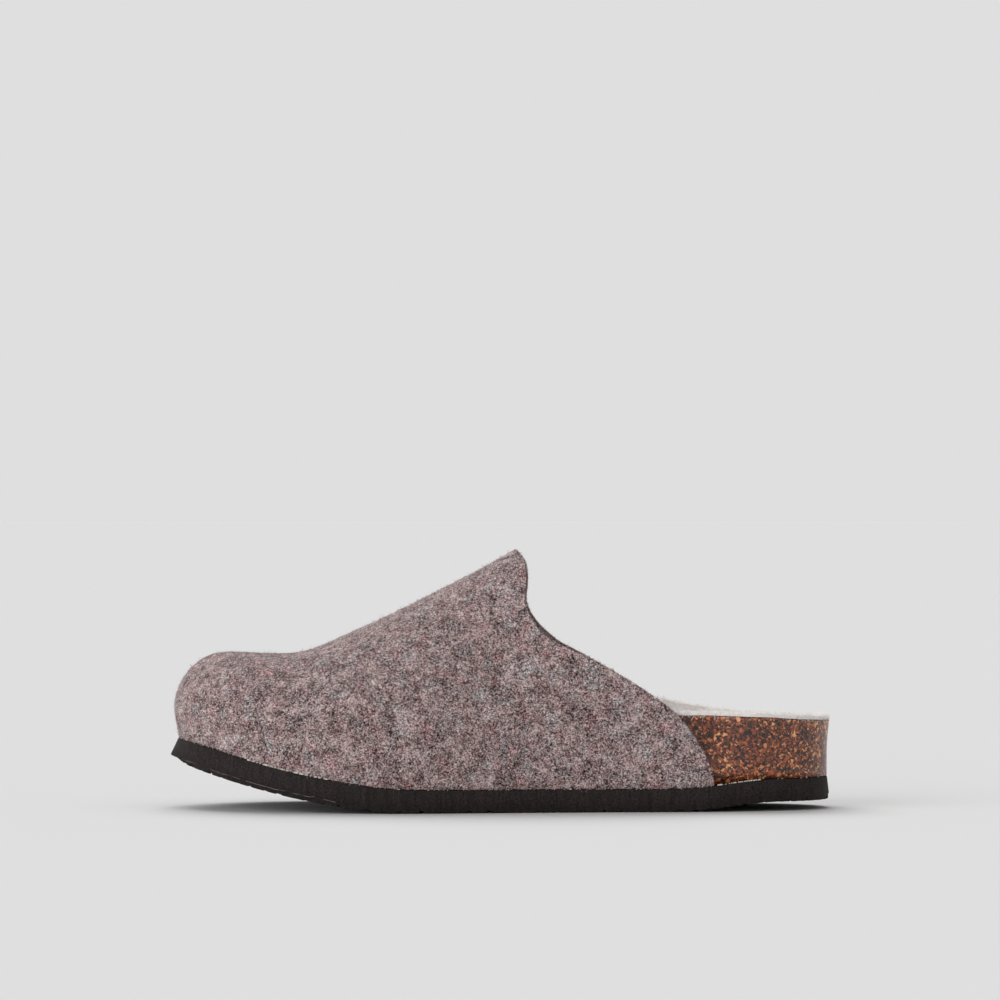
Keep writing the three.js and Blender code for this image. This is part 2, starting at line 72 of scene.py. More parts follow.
TREAD_GROOVE = 2.4
TREAD_DEPTH = 1.4
TREAD_ZIGZAG = 1.6
TREAD_ZIGZAG_STEP = 11.0
TREAD_END_MARGIN = 13.0
TREAD_BAND = 2.0
TOE_BOX_HEIGHT = 39.8
INSTEP_HEIGHT = 92.7
RIDGE_SIDE = 5.0
THROAT_FROM_HEEL = 122.6
COLLAR_END_FROM_HEEL = 46.4
RIDGE_FRONT_FROM_TOE = 23.0
CROSS_START_FROM_TOE = 60.0
WALL_BULGE = 2.5
FAN_START = 0.35
FEATHER_INSET = 0.4
FELT = 3.2
RIM_HEIGHT = 22.4
ARCH_RIM_HEIGHT = 32.0
BED_HEIGHT = 14.5
RIM_FLAT = 2.4
RIM_FLARE = 0.9
CORK_HEEL_INSET = 0.0
CORK_STEP_LENGTH = 20.0
RIM_CLEARANCE = 0.2
PILE_BED = 5.0
PILE_RIM = 2.4
PILE_EDGE_ROUND = 0.9
GLUE_GAP = 0.3

TOE_X = -SHOE_LENGTH / 2
HEEL_X = SHOE_LENGTH / 2
THROAT_X = HEEL_X - THROAT_FROM_HEEL
COLLAR_END_X = HEEL_X - COLLAR_END_FROM_HEEL

# Control corners of the plan outline: share of the length from the heel, share of the half width there.
OUTLINE = {
    "along": [1.03, 0.975, 0.85, 0.7, 0.56, 0.42, 0.27, 0.12, 0.01, -0.02, 0.01, 0.12, 0.27, 0.42, 0.58, 0.73,
              0.87, 0.985],
    "side": [0.1, -0.5, -0.93, -1.08, -1.08, -1.07, -1.06, -1.06, -0.68, 0, 0.68, 1.05, 0.98, 0.87, 0.86, 1.0,
             1.0, 0.68],
}

# Top line of the upper: rise from the toe box's height to the instep's, share of RIDGE_SIDE.
RIDGE = {
    "along": [0.903, 0.86, 0.819, 0.783, 0.746, 0.691, 0.619, 0.546, 0.475, 0.34, 0.17],
    "rise": [0, 0.049, 0.094, 0.168, 0.268, 0.427, 0.622, 0.812, 1, 1.37, 1.8],
    "side": [1, 0.9, 0.8, 0.7, 0.6, 0.5, 0.4, 0.3, 0.2, 0, 0],
}

# Fullness of the upper's cross-section, and its bulge as a share of WALL_BULGE.
SECTION = {
    "along": [0.95, 0.8, 0.65, 0.5, 0.18],
    "wide": [2.9, 2.7, 2.3, 2.0, 2.0],
    "tall": [2.9, 2.6, 2.3, 2.1, 2.0],
    "bulge": [1, 0.9, 0.7, 0.5, 0.2],
}

# The cut edge of the felt from the side: share of INSTEP_HEIGHT, share of the way to the collar's end.
COLLAR = {
    "up": [0, 0.05, 0.13, 0.205, 0.285, 0.35, 0.455, 0.53, 0.597, 0.636, 0.675, 0.708, 0.742, 0.79, 0.873, 0.94,
           0.976, 1.0],
    "outer": [1, 0.995, 0.96, 0.908, 0.838, 0.752, 0.563, 0.407, 0.251, 0.18, 0.124, 0.091, 0.067, 0.053, 0.058,
              0.051, 0.03, 0],
    "inner": [1, 0.995, 0.95, 0.89, 0.808, 0.718, 0.53, 0.38, 0.238, 0.182, 0.133, 0.1, 0.075, 0.057, 0.058,
              0.051, 0.03, 0],
}

# Footbed: rim heights as shares of RIM_HEIGHT and ARCH_RIM_HEIGHT, bed as a share of BED_HEIGHT.
FOOTBED = {
    "along": [0, 0.11, 0.2, 0.25, 0.36, 0.5, 0.66, 0.82, 1],
    "outer": [0.96, 1.06, 1.21, 1.23, 1.08, 0.8, 0.62, 0.54, 0.54],
    "arch": [0.672, 0.68, 0.85, 0.95, 1, 0.76, 0.47, 0.378, 0.378],
    "bed": [1, 1, 1.06, 1.12, 1.14, 0.96, 0.6, 0.48, 0.48],
    "cup": [5, 5, 4, 3.2, 2.4, 2.4, 3.4, 4.5, 4.5],
}
OUTER_CUP = 5.0

# Fine tread, edge work and fibres that only the dressed part has.
TREAD_TIP_INSET = 2.6
TREAD_TIP_LENGTH = 9.0
LUG_INSET = 1.1
LUG_CHAMFER = 0.1
CUT_TRIM = 0.8
CUT_STEP_UP = 0.63
CUT_STEP_SPAN = 0.07
CUT_SWELL = 0.3
WAVE_FADE = 8.0
STRAY_LENGTHS = (0.8, 2.4)
STRAY_WIDTHS = (0.04, 0.07)
PILE_WIDTHS = (0.08, 0.16)
DYE_VARY = 0.26
HEEL_RIM_INSET = 0.8
HEEL_RIM_LENGTH = 25.0
GROOVES = int((SHOE_LENGTH - 2 * TREAD_END_MARGIN) // TREAD_PITCH)

# Rows and columns of the meshes, and the seeds of the random draws.
SOLE_STATIONS = 220
EDGE_STATIONS = 640
FELT_FAN, FELT_CROSS, FELT_CLIMB, FELT_EDGE = 50, 185, 92, 6
FELT_SEED, PILE_SEED, SOLE_SEED, GLUE_SEED = 11, 23, 5, 31

# Unevenness of surfaces, in layers: depth and width of the lumps in millimetres, and the noise's seed.
FELT_WAVES = [(0.25, 14, 1)]
FELT_GRAIN = [(0.14, 4.0, 2), (0.16, 2.2, 3)]
PILE_CURLS = [(0.35, 3.2, 7), (0.2, 1.8, 8)]
FLASH_PROUD = [(0.3, 2.0, 41), (0.2, 7.0, 42)]
FLASH_WANDER = [(0.5, 8.0, 43), (0.35, 2.5, 44)]

# Felt fibres lie thicker in blotches, which each colour has of its own: strength, width and seed.
HAIR_BLOTCHES = {
    "pale": (0.6, 6.0, 51),
    "middle": (0.5, 7.0, 52),
    "dark": (0.6, 5.0, 53),
    "rust": (1.4, 5.0, 54),
}

OUTER, INNER = -1, 1
HALF_COLUMN = {OUTER: "outer", INNER: "inner"}
CUT_STEP = {OUTER: 1.5, INNER: 0.5}


# Shape of the shoe


def mix(a, b, t):
    return a + (b - a) * t


def ease(t):
    t = np.clip(t, 0, 1)
    return t * t * (3 - 2 * t)


def along_of(x):
    return (HEEL_X - x) / SHOE_LENGTH


def read_table(table, column, at, key="along"):
    """A table's column as a smooth function of its key, with slopes taken from the neighbouring rows."""
    order = np.argsort(table[key])
    keys = np.array(table[key], float)[order]
    values = np.array(table[column], float)[order]
    near, far = np.r_[0, 0:len(keys) - 1], np.r_[1:len(keys), len(keys) - 1]
    slopes = (values[far] - values[near]) / (keys[far] - keys[near])
    at = np.clip(at, keys[0], keys[-1])
    i = np.clip(np.searchsorted(keys, at, side="right") - 1, 0, len(keys) - 2)
    gap = keys[i + 1] - keys[i]
    t = (at - keys[i]) / gap
    bend = t * t * (3 - 2 * t)
    pull = t * (1 - t) ** 2 * slopes[i] - t * t * (1 - t) * slopes[i + 1]
    return mix(values[i], values[i + 1], bend) + gap * pull


def half_width_at(along):
    waist = mix(HEEL_WIDTH, WAIST_WIDTH, ease((along - 0.15) / 0.27))
    return mix(waist, BALL_WIDTH, ease((along - 0.4) / 0.3)) / 2


def plan_outline(samples=1920):
    """The closed uniform cubic curve inside the control corners, stretched to the shoe's length and width."""
    along, side = np.array(OUTLINE["along"], float), np.array(OUTLINE["side"], float)
    across = side * half_width_at(along)
    span = np.arange(samples) / samples * len(along)
    first, t = np.floor(span).astype(int), span % 1
    weights = [(1 - t) ** 3, 3 * t**3 - 6 * t * t + 4, -3 * t**3 + 3 * t * t + 3 * t + 1, t**3]
    a = sum(w * along[(first + k) % len(along)] for k, w in enumerate(weights)) / 6
    y = sum(w * across[(first + k) % len(along)] for k, w in enumerate(weights)) / 6
    x = HEEL_X - (a - a.min()) / (a.max() - a.min()) * SHOE_LENGTH
    return x, (y - (y.min() + y.max()) / 2) / (y.max() - y.min()) * BALL_WIDTH


PLAN = plan_outline()


def spring_share(x):
    return np.clip((TOE_X + TOE_SPRING_LENGTH - x) / TOE_SPRING_LENGTH, 0, 1)


def spring_slope(x):
    return TOE_SPRING * TOE_SPRING_POWER / TOE_SPRING_LENGTH * spring_share(x) ** (TOE_SPRING_POWER - 1)


def underside(x):
    toe = TOE_SPRING * spring_share(x) ** TOE_SPRING_POWER
    return toe + HEEL_RISE * ease((x - HEEL_X + HEEL_RISE_START) / HEEL_RISE_LENGTH)


def sole_thickness(x):
    ball = mix(HEEL_THICKNESS, BALL_THICKNESS, ease((along_of(x) - 0.56) / 0.22))
    return mix(ball, TIP_THICKNESS, ease((TOE_X + TIP_TAPER_LENGTH - x) / TIP_TAPER_LENGTH))


def sole_top(x):
    return underside(x) + sole_thickness(x) * np.hypot(1, spring_slope(x))


def lean_at(x):
    return sole_thickness(x) * spring_slope(x) / np.hypot(1, spring_slope(x))


def plan_halves(inset, lean):
    """The outline moved in and leaned back, as rows x, y, out x, out y from toe to heel for each side."""
    x, y = PLAN
    dx, dy = (np.roll(v, -1) - np.roll(v, 1) for v in PLAN)
    size = np.hypot(dx, dy)
    out_x, out_y = dy / size, -dx / size
    depth = inset(x, np.where(y < 0, OUTER, INNER))
    moved = np.array([x - out_x * depth + lean * lean_at(x), y - out_y * depth, out_x, out_y])
    count, toe, heel = len(x), int(moved[0].argmin()), int(moved[0].argmax())
    halves = []
    for step in (1, -1):
        steps = np.arange((step * (heel - toe)) % count + 1)
        half = moved[:, (toe + step * steps) % count]
        half[0] = np.maximum.accumulate(half[0] + steps * 1e-9)
        halves.append(half)
    halves.sort(key=lambda half: half[1].mean())
    return {OUTER: halves[0], INNER: halves[1]}


def point_at(half, measure, value):
    x, y, out_x, out_y = (np.interp(value, measure, row) for row in half)
    size = np.hypot(out_x, out_y)
    return np.array([x, y, out_x / size, out_y / size])


FEATHER = plan_halves(lambda x, side: FEATHER_INSET, 1)
FEATHER_TIP = FEATHER[OUTER][0][0]
RIDGE_FRONT = FEATHER_TIP + RIDGE_FRONT_FROM_TOE
CROSS_START = FEATHER_TIP + CROSS_START_FROM_TOE
RUNS = {
    side: np.r_[0, np.cumsum(np.hypot(np.diff(half[0]), np.diff(half[1])))] for side, half in FEATHER.items()
}
FAN_RUN = {side: np.interp(CROSS_START, FEATHER[side][0], RUNS[side]) for side in FEATHER}


def ridge_point(x):
    rise = read_table(RIDGE, "rise", along_of(x))
    height = mix(TOE_BOX_HEIGHT, INSTEP_HEIGHT, rise)
    return np.array([x, RIDGE_SIDE * read_table(RIDGE, "side", along_of(x)), sole_top(x) + height])


def fan_station(side, turn):
    """Foot and ridge point of the ribs that fan out round the toe: turn is 0 at the tip, 1 at the fan's end."""
    turn = np.asarray(turn, float)
    foot = point_at(FEATHER[side], RUNS[side], turn * FAN_RUN[side])
    power = (FAN_RUN[side] / (CROSS_START - RIDGE_FRONT) - FAN_START) / (1 - FAN_START)
    share = FAN_START * turn + (1 - FAN_START) * turn**power
    return foot, ridge_point(mix(RIDGE_FRONT, CROSS_START, share))


def cross_station(side, x):
    return point_at(FEATHER[side], FEATHER[side][0], x), ridge_point(x)


def rib_point(foot, ridge, climb):
    """A point of the felt's outer face: climb is 0 at the sole and 1 on the ridge."""
    along = along_of(foot[0])
    wide, tall = read_table(SECTION, "wide", along), read_table(SECTION, "tall", along)
    angle = climb * math.pi / 2
    inwards = 1 - np.clip(np.cos(angle), 0, 1) ** (2 / wide)
    upwards = np.clip(np.sin(angle), 0, 1) ** (2 / tall)
    bulge = WALL_BULGE * read_table(SECTION, "bulge", along)
    swell = bulge * np.clip(np.sin(math.pi * upwards), 0, 1) ** 1.2
    return np.array([
        mix(foot[0], ridge[0], inwards) + foot[2] * swell,
        mix(foot[1], ridge[1], inwards) + foot[3] * swell,
        mix(sole_top(foot[0]) + GLUE_GAP, ridge[2], upwards),
    ])


def collar_x(side, z):
    up = (z - sole_top(0.0) - GLUE_GAP) / (INSTEP_HEIGHT - GLUE_GAP)
    cut = mix(THROAT_X, COLLAR_END_X, read_table(COLLAR, HALF_COLUMN[side], up, "up"))
    trim = CUT_TRIM * ease((up - 0.5) / 0.2)
    step = CUT_STEP[side] * np.exp(-(((up - CUT_STEP_UP) / CUT_STEP_SPAN) ** 2))
    return cut - trim - step


def halve(low, high, beyond, rounds=40):
    """Closes in on the value between low and high where beyond(value) turns true, for whole arrays."""
    for _ in range(rounds):
        middle = (low + high) / 2
        past = beyond(middle)
        low, high = np.where(past, low, middle), np.where(past, middle, high)
    return (low + high) / 2


def collar_station(side, climb):
    def past_the_cut(x):
        px, _, pz = rib_point(*cross_station(side, x), climb)
        return px > collar_x(side, pz)

    return halve(np.full(climb.shape, CROSS_START), np.full(climb.shape, HEEL_X), past_the_cut)


def felt_lean(side, x, height):
    """How far the felt's outer face stands out from its foot, at a height above the outsole."""
    turn = np.clip(np.interp(x, FEATHER[side][0], RUNS[side]) / FAN_RUN[side], 0, 1)
    fan, cross = fan_station(side, turn), cross_station(side, np.maximum(x, CROSS_START))
    foot, ridge = (np.where(x < CROSS_START, f, c) for f, c in zip(fan, cross))
    top = sole_top(foot[0]) + GLUE_GAP + height
    climb = halve(np.zeros(x.shape), np.ones(x.shape), lambda c: rib_point(foot, ridge, c)[2] > top)
    px, py, _ = rib_point(foot, ridge, climb)
    return (px - foot[0]) * foot[2] + (py - foot[1]) * foot[3]


def rim_share(x, share, cup):
    inwards = np.clip(np.abs(share) / (1 - 2 * RIM_FLAT / HEEL_WIDTH), 0, 1)
    from_end = np.minimum(along_of(x), 1 - along_of(x)) * SHOE_LENGTH
    near_tip = ease(1 - 2 * from_end / HEEL_WIDTH)
    return 1 - (1 - inwards**cup) * (1 - near_tip**2)


def cork_top(x, share):
    along = along_of(x)
    outer = share < 0
    rim = np.where(outer, RIM_HEIGHT * read_table(FOOTBED, "outer", along),
                   ARCH_RIM_HEIGHT * read_table(FOOTBED, "arch", along))
    cup = np.where(outer, OUTER_CUP, read_table(FOOTBED, "cup", along))
    bed = BED_HEIGHT * read_table(FOOTBED, "bed", along)
    return sole_top(x) + GLUE_GAP + mix(bed, rim, rim_share(x, share, cup))


def flare_share(x):
    return ease((x - COLLAR_END_X) / CORK_STEP_LENGTH)


INSIDE_FELT = FEATHER_INSET + FELT + GLUE_GAP


def cork_base_inset(x, side):
    return mix(INSIDE_FELT, CORK_HEEL_INSET + RIM_FLARE, flare_share(x))


def cork_rim_inset(x, side):
    height = cork_top(x, side) - sole_top(x) + PILE_RIM
    lean = np.where(side < 0, felt_lean(OUTER, x, height), felt_lean(INNER, x, height))
    return mix(INSIDE_FELT + RIM_CLEARANCE - lean, CORK_HEEL_INSET, flare_share(x))


def edge_level(inset, lean, height, stations):
    """Outer and inner edge of a sole piece at one level, as points at each station from toe to heel."""
    halves = plan_halves(inset, lean)
    tip, heel = halves[OUTER][0][0], halves[OUTER][0][-1]
    x = mix(tip, heel, (1 - np.cos(np.pi * np.arange(stations + 1) / stations)) / 2)
    y = {side: np.interp(x, half[0], half[1]) for side, half in halves.items()}
    middle = (y[OUTER] + y[INNER]) / 2
    level = {}
    for side in (OUTER, INNER):
        y[side][[0, -1]] = middle[[0, -1]]
        level[side] = np.stack([x, y[side], height(x, np.full(x.shape, side))], 1)
    for end in (0, -1):
        level[OUTER][end, 2] = level[INNER][end, 2] = (level[OUTER][end, 2] + level[INNER][end, 2]) / 2
    return level


def across(level, strips, shape):
    """Points over a face between a level's two edges. shape gives a height from x and a share from -1 to 1."""
    share = -np.cos(np.pi * np.arange(strips + 1) / strips)
    x = np.repeat(level[OUTER][:, :1], strips + 1, 1)
    y = mix(level[OUTER][:, 1:2], level[INNER][:, 1:2], (share + 1) / 2)
    z = shape(x, np.repeat(share[None], len(x), 0))
    z[[0, -1]] = level[OUTER][[0, -1], 2:3]
    return np.stack([x, y, z], 2)


def sole_loops(levels, top, bottom):
    """Closed loops round a sole piece, one for each station: over its top, down one side and up the other."""
    inner = np.stack([level[INNER] for level in levels[1:-1]], 1)
    outer = np.stack([level[OUTER] for level in levels[1:-1]][::-1], 1)
    return np.concatenate([top, inner, bottom[:, ::-1], outer], 1)


# Meshes


def grid_faces(names, closed=False):
    """Quads between neighbouring rows and columns of a grid of vertex numbers."""
    if closed:
        names = np.concatenate([names, names[:, :1]], 1)
    a, b, c, d = names[:-1, :-1], names[1:, :-1], names[1:, 1:], names[:-1, 1:]
    return np.stack([a, b, c, d], -1).reshape(-1, 4)


def tube_faces(names):
    """Faces of a closed tube with a cap at each end."""
    return grid_faces(names, True).tolist() + [names[0].tolist(), names[-1][::-1].tolist()]


def new_object(name, data):
    obj = bpy.data.objects.new(name, data)
    bpy.context.scene.collection.objects.link(obj)
    return obj


def make_object(name, points, faces, material, smooth=True):
    """A mesh object from points in millimetres."""
    mesh = bpy.data.meshes.new(name)
    mesh.from_pydata((np.asarray(points) / 1000).tolist(), [], [list(f) for f in faces])
    mesh.materials.append(material)
    obj = new_object(name, mesh)
    mesh.validate()
    mesh.polygons.foreach_set("use_smooth", [smooth] * len(mesh.polygons))
    return obj


def weld(obj):
    """Joins points at one place and turns every face of a closed mesh outwards."""
    shape = bmesh.new()
    shape.from_mesh(obj.data)
    bmesh.ops.remove_doubles(shape, verts=shape.verts, dist=2e-6)
    bmesh.ops.dissolve_degenerate(shape, edges=shape.edges, dist=1e-6)
    bmesh.ops.recalc_face_normals(shape, faces=shape.faces)
    shape.to_mesh(obj.data)
    shape.free()
    obj.data.update()


def loop_object(name, loops, material):
    """A closed piece from loops round it, one for each station."""
    names = np.arange(loops[..., 0].size).reshape(loops.shape[:2])
    made = make_object(name, loops.reshape(-1, 3), grid_faces(names, True), material)
    weld(made)
    return made


def dress(obj, node, replaced=True):
    """Rides a piece on the shoe's body and, where it replaces the CAD node that it stands for, hides that node.
    """
    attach(obj, "root")
    if replaced:
        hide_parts(node)


def lumps(points, size, seed):
    """Smooth noise from -1 to 1 at points in millimetres, with features of about that size."""
    shift = Vector((seed * 17.3, seed * 5.1, seed * 9.7))
    return np.array([noise.noise(Vector(p) / size + shift) for p in points.tolist()])


def uneven(points, layers):
    return sum(depth * lumps(points, size, seed) for depth, size, seed in layers)


def unit(v):
    return v / np.maximum(np.linalg.norm(v, axis=-1, keepdims=True), 1e-12)


def read_rows(items, attribute, kind=np.float32):
    """An attribute of three numbers, read from all items of a mesh."""
    rows = np.empty(len(items) * 3, kind)
    items.foreach_get(attribute, rows)
    return rows.reshape(-1, 3)


def surface_samples(obj, count, rng, weight):
    """Random points on an object's faces, with normals, drawn by area times weight(centre, normal)."""
    mesh = obj.data
    mesh.calc_loop_triangles()
    corners = read_rows(mesh.vertices, "co").astype(float) * 1000
    triangles = read_rows(mesh.loop_triangles, "vertices", np.int32)
    a, b, c = (corners[triangles[:, k]] for k in range(3))
    normals = np.cross(b - a, c - a)
    areas = np.linalg.norm(normals, axis=1) / 2
    normals = unit(normals)
    chance = areas * weight((a + b + c) / 3, normals)
    picks = rng.choice(len(areas), count, p=chance / chance.sum())
    u, v = rng.random(count), rng.random(count)
    flip = u + v > 1
    u, v = np.where(flip, 1 - u, u)[:, None], np.where(flip, 1 - v, v)[:, None]
    return mix(a[picks], b[picks], u) + (c[picks] - a[picks]) * v, normals[picks]


def hair_points(roots, normals, lengths, widths, lifts, rng, bends=1):
    """Flat fibres, pointed at both ends, that lie on the surface and lift off it towards their tips."""
    count = len(roots)
    turn = rng.normal(size=(count, 3))
    run = unit(turn - normals * (turn * normals).sum(1, keepdims=True))
    side = np.cross(normals, run)
    sway = rng.normal(0, 0.25, (count, 1)) * side
    spine = [roots - 0.03 * normals]
    for k in range(1, bends + 2):
        share = k / (bends + 1)
        rise = lifts[:, None] * share**1.5 + 0.04 * np.sin(math.pi * share)
        spine.append(roots + (run + sway * share) * lengths[:, None] * share + normals * rise)
    rows = [spine[0]]
    for middle in spine[1:-1]:
        rows += [middle - side * widths[:, None] / 2, middle + side * widths[:, None] / 2]
    rows.append(spine[-1])
    points = np.stack(rows, 1)
    step = np.arange(count)[:, None] * len(rows)
    faces = [step + [0, 1, 2], step + [len(rows) - 3, len(rows) - 1, len(rows) - 2]]
    for k in range(1, bends):
        first = 2 * k - 1
        faces += [step + [first, first + 2, first + 1], step + [first + 1, first + 2, first + 3]]
    return points.reshape(-1, 3), np.concatenate(faces)


def fibres(name, body, count, rng, weight, lengths, widths, lifts, material, bends=1):
    """Fibres on a body, with least and greatest length and width in millimetres, and a draw for their lifts."""
    roots, normals = surface_samples(body, count, rng, weight)
    lengths, widths = rng.uniform(*lengths, count), rng.uniform(*widths, count)
    return make_object(name, *hair_points(roots, normals, lengths, widths, lifts(count), rng, bends), material)


# Materials


def linear(hex_colour):
    """An sRGB hex colour as linear red, green and blue."""
    parts = [int(hex_colour[k:k + 2], 16) / 255 for k in (1, 3, 5)]
    return tuple(p / 12.92 if p <= 0.04045 else ((p + 0.055) / 1.055) ** 2.4 for p in parts)


def per_metre(size_mm):
    """Texture scale that gives features of about this many millimetres."""
    return 1000 / size_mm


def add_node(owner, kind, inputs=None, stops=None, **options):
    """Adds a node to a material or world. Inputs are values or sockets to link, stops a ramp's colours."""
    made = owner.node_tree.nodes.new("ShaderNode" + kind)
    for name, value in options.items():
        setattr(made, name, value)
    for name, value in (inputs or {}).items():
        if isinstance(value, bpy.types.NodeSocket):
            owner.node_tree.links.new(value, made.inputs[name])
        else:
            made.inputs[name].default_value = value
    for k, (place, colour) in enumerate(stops or []):
        elements = made.color_ramp.elements
        element = elements[k] if k < 2 else elements.new(place)
        element.position, element.color = place, (*colour, 1)
    return made


def emptied(owner):
    """A new material or world without the nodes that it starts with."""
    owner.use_nodes = True
    owner.node_tree.nodes.clear()
    return owner


def new_material(name):
    return emptied(bpy.data.materials.new(name))


def finish_material(material, inputs):
    shader = add_node(material, "BsdfPrincipled", inputs)
    add_node(material, "OutputMaterial", {"Surface": shader.outputs[0]})
    return material


def object_place(material):
    return add_node(material, "TexCoord").outputs["Object"]


def noise_fac(material, place, size, detail=2.0, roughness=0.5):
    """Strength of a noise with features of about this many millimetres."""
    inputs = {"Scale": per_metre(size), "Detail": detail, "Roughness": roughness, "Vector": place}
    return add_node(material, "TexNoise", inputs).outputs["Fac"]


def cells(material, place, size):
    """Cells of about this many millimetres, and the node that picks a random number for each."""
    grains = add_node(material, "TexVoronoi", {"Scale": per_metre(size), "Vector": place})
    return grains, add_node(material, "SeparateColor", {"Color": grains.outputs["Color"]})


def stretch(material, value, low=0.3, high=0.7, top=1.0):
    """Stretches the range from low to high so that it runs from 0 to top."""
    inputs = {"Value": value, "From Min": low, "From Max": high, "To Max": top}
    return add_node(material, "MapRange", inputs).outputs["Result"]


def blend(material, share, a, b):
    made = add_node(material, "Mix", {"Factor": share, "A": a, "B": b}, data_type="FLOAT")
    return made.outputs["Result"]


def blend_colour(material, share, a, b, blend_type="MIX"):
    """Mixes two colours. The mix node's colour sockets are 6, 7 and, for the result, 2."""
    made = add_node(material, "Mix", {0: share, 6: a, 7: b}, data_type="RGBA", blend_type=blend_type)
    return made.outputs[2]


def ramp(material, value, stops):
    """Colours along a value: the lowest stop, the highest, then those between."""
    return add_node(material, "ValToRGB", {"Fac": value}, stops).outputs[0]


def bump(material, height, strength, millimetres):
    inputs = {"Strength": strength, "Distance": millimetres / 1000, "Height": height}
    return add_node(material, "Bump", inputs).outputs[0]


def felt_material(felt):
    """Needled and fulled wool: melange of pale, dark, rust and slate fibres, matte with a soft sheen."""
    material = new_material("needled_wool_felt")
    place = object_place(material)
    # Single fibres are 0.03 mm thick, too fine to show, so the melange's flecks are drawn at 0.38 mm.
    _, fleck = cells(material, place, 0.38)
    tufts = stretch(material, noise_fac(material, place, 1.1, 2.0, 0.7))
    clouds = stretch(material, noise_fac(material, place, 5.0, 4.0, 0.65))
    blots = noise_fac(material, place, 5.5, 3.0, 0.55)
    fine = blend(material, 0.38, fleck.outputs["Red"], tufts)
    wool = ramp(material, blend(material, 0.3, fine, clouds),
                [(0.27, felt.dark), (0.74, felt.pale), (0.49, felt.middle)])
    hue = ramp(material, blots,
               [(0.32, felt.slate), (0.68, felt.rust), (0.45, felt.middle), (0.55, felt.middle)])
    tinted = blend_colour(material, 0.45, wool, hue, "COLOR")
    # Painted shade: the cut edge, and half as much the inside face's top row, turn towards the edge colour for
    # the collar's shadowed inside.
    cut = add_node(material, "Attribute", attribute_name="cut_edge").outputs["Fac"]
    return finish_material(material, {
        "Base Color": blend_colour(material, cut, tinted, (*felt.edge, 1)),
        "Normal": bump(material, fine, 0.8, 0.3),
        "Roughness": 0.95, "Specular IOR Level": 0.15, "Sheen Weight": 0.15, "Sheen Roughness": 0.6})


def plain_material(name, colour, vary):
    """One matte stuff of a single colour, lighter and darker from place to place by the share vary."""
    material = new_material(name)
    low, high = (tuple(min(1, (1 + by) * c) for c in colour) for by in (-vary, vary))
    tone = ramp(material, noise_fac(material, object_place(material), 1.5), [(0.35, low), (0.65, high)])
    return finish_material(material, {"Base Color": tone, "Roughness": 0.9, "Specular IOR Level": 0.15})


def cork_material(cork):
    """Pressed cork granules in dark latex under a clear lacquer: flat tan chips and a soft gloss."""
    material = new_material("lacquered_cork")
    place = object_place(material)
    warp = add_node(material, "TexNoise", {"Scale": per_metre(1.2), "Detail": 2.0, "Vector": place})
    bent = blend_colour(material, 0.0004, place, warp.outputs["Color"], "LINEAR_LIGHT")
    patches = stretch(material, noise_fac(material, place, 9), top=0.18)
    layers = []
    for share in (1.0, 0.5):
        grains, pick = cells(material, bent, cork.granule * 1000 * share)
        moved = add_node(material, "Math", {0: pick.outputs["Red"], 1: 0.85, 2: patches},
                         operation="MULTIPLY_ADD")
        tone = ramp(material, moved.outputs[0], [
            (0.2, cork.binder), (0.93, cork.chip_pale), (0.4, cork.body), (0.66, cork.warm), (0.83, cork.chip)])
        layers.append((grains, pick, tone))
    (_, big_pick, big_tone), (small, _, small_tone) = layers
    over = stretch(material, big_pick.outputs["Green"], 0.55, 0.8)
    return finish_material(material, {
        "Base Color": blend_colour(material, over, small_tone, big_tone),
        "Normal": bump(material, small.outputs["Distance"], 0.3, 0.2),
        "Roughness": 0.5, "Coat Weight": 0.48, "Coat Roughness": 0.28})


def eva_material(sole):
    """Die-cut EVA foam sheet: near black, matte, with the fine pores of the cut cells."""
    material = new_material("cut_eva_foam")
    place = object_place(material)
    pores = noise_fac(material, place, 0.5, 3.0)
    squash = add_node(material, "Mapping", {"Scale": (1.0, 1.0, 0.12), "Vector": place})
    tone = blend(material, 0.3, pores, noise_fac(material, squash.outputs[0], 1.2, 4.0))
    dark, light = (tuple(share * c for c in sole.foam) for share in (0.35, 2.6))
    foam = ramp(material, tone, [(0.38, dark), (0.62, light)])
    return finish_material(material, {
        "Base Color": foam, "Normal": bump(material, pores, 0.5, 0.15),
        "Roughness": 0.8, "Specular IOR Level": 0.3})


def pile_material(pile):
    """Knitted wool pile: cream, curly and matte, with painted shade darker between the curls."""
    material = new_material("wool_pile")
    curls = noise_fac(material, object_place(material), 1.6, 3.0, 0.65)
    return finish_material(material, {
        # Painted shade: the low places of the curls' noise, which the bump makes hollows, take the darker shade
        # colour.
        "Base Color": ramp(material, curls, [(0.3, pile.curl_painted_shade), (0.62, pile.wool)]),
        "Normal": bump(material, curls, 0.8, 0.8), "Roughness": 0.95, "Specular IOR Level": 0.1,
        "Sheen Weight": 0.6, "Sheen Roughness": 0.4})


# Settings


def colour_setting(name, description, hex_colour):
    return bpy.props.FloatVectorProperty(
        name=name, description=description, subtype="COLOR", size=3, min=0, max=1, default=linear(hex_colour))


def length_setting(name, description, millimetres):
    return bpy.props.FloatProperty(
        name=name, description=description, subtype="DISTANCE", unit="LENGTH", min=0, precision=5,
        default=millimetres / 1000)


def count_setting(name, description, count):
    return bpy.props.IntProperty(name=name, description=description, default=count)


def power_setting(name, description, power):
    return bpy.props.FloatProperty(name=name, description=description, default=power)


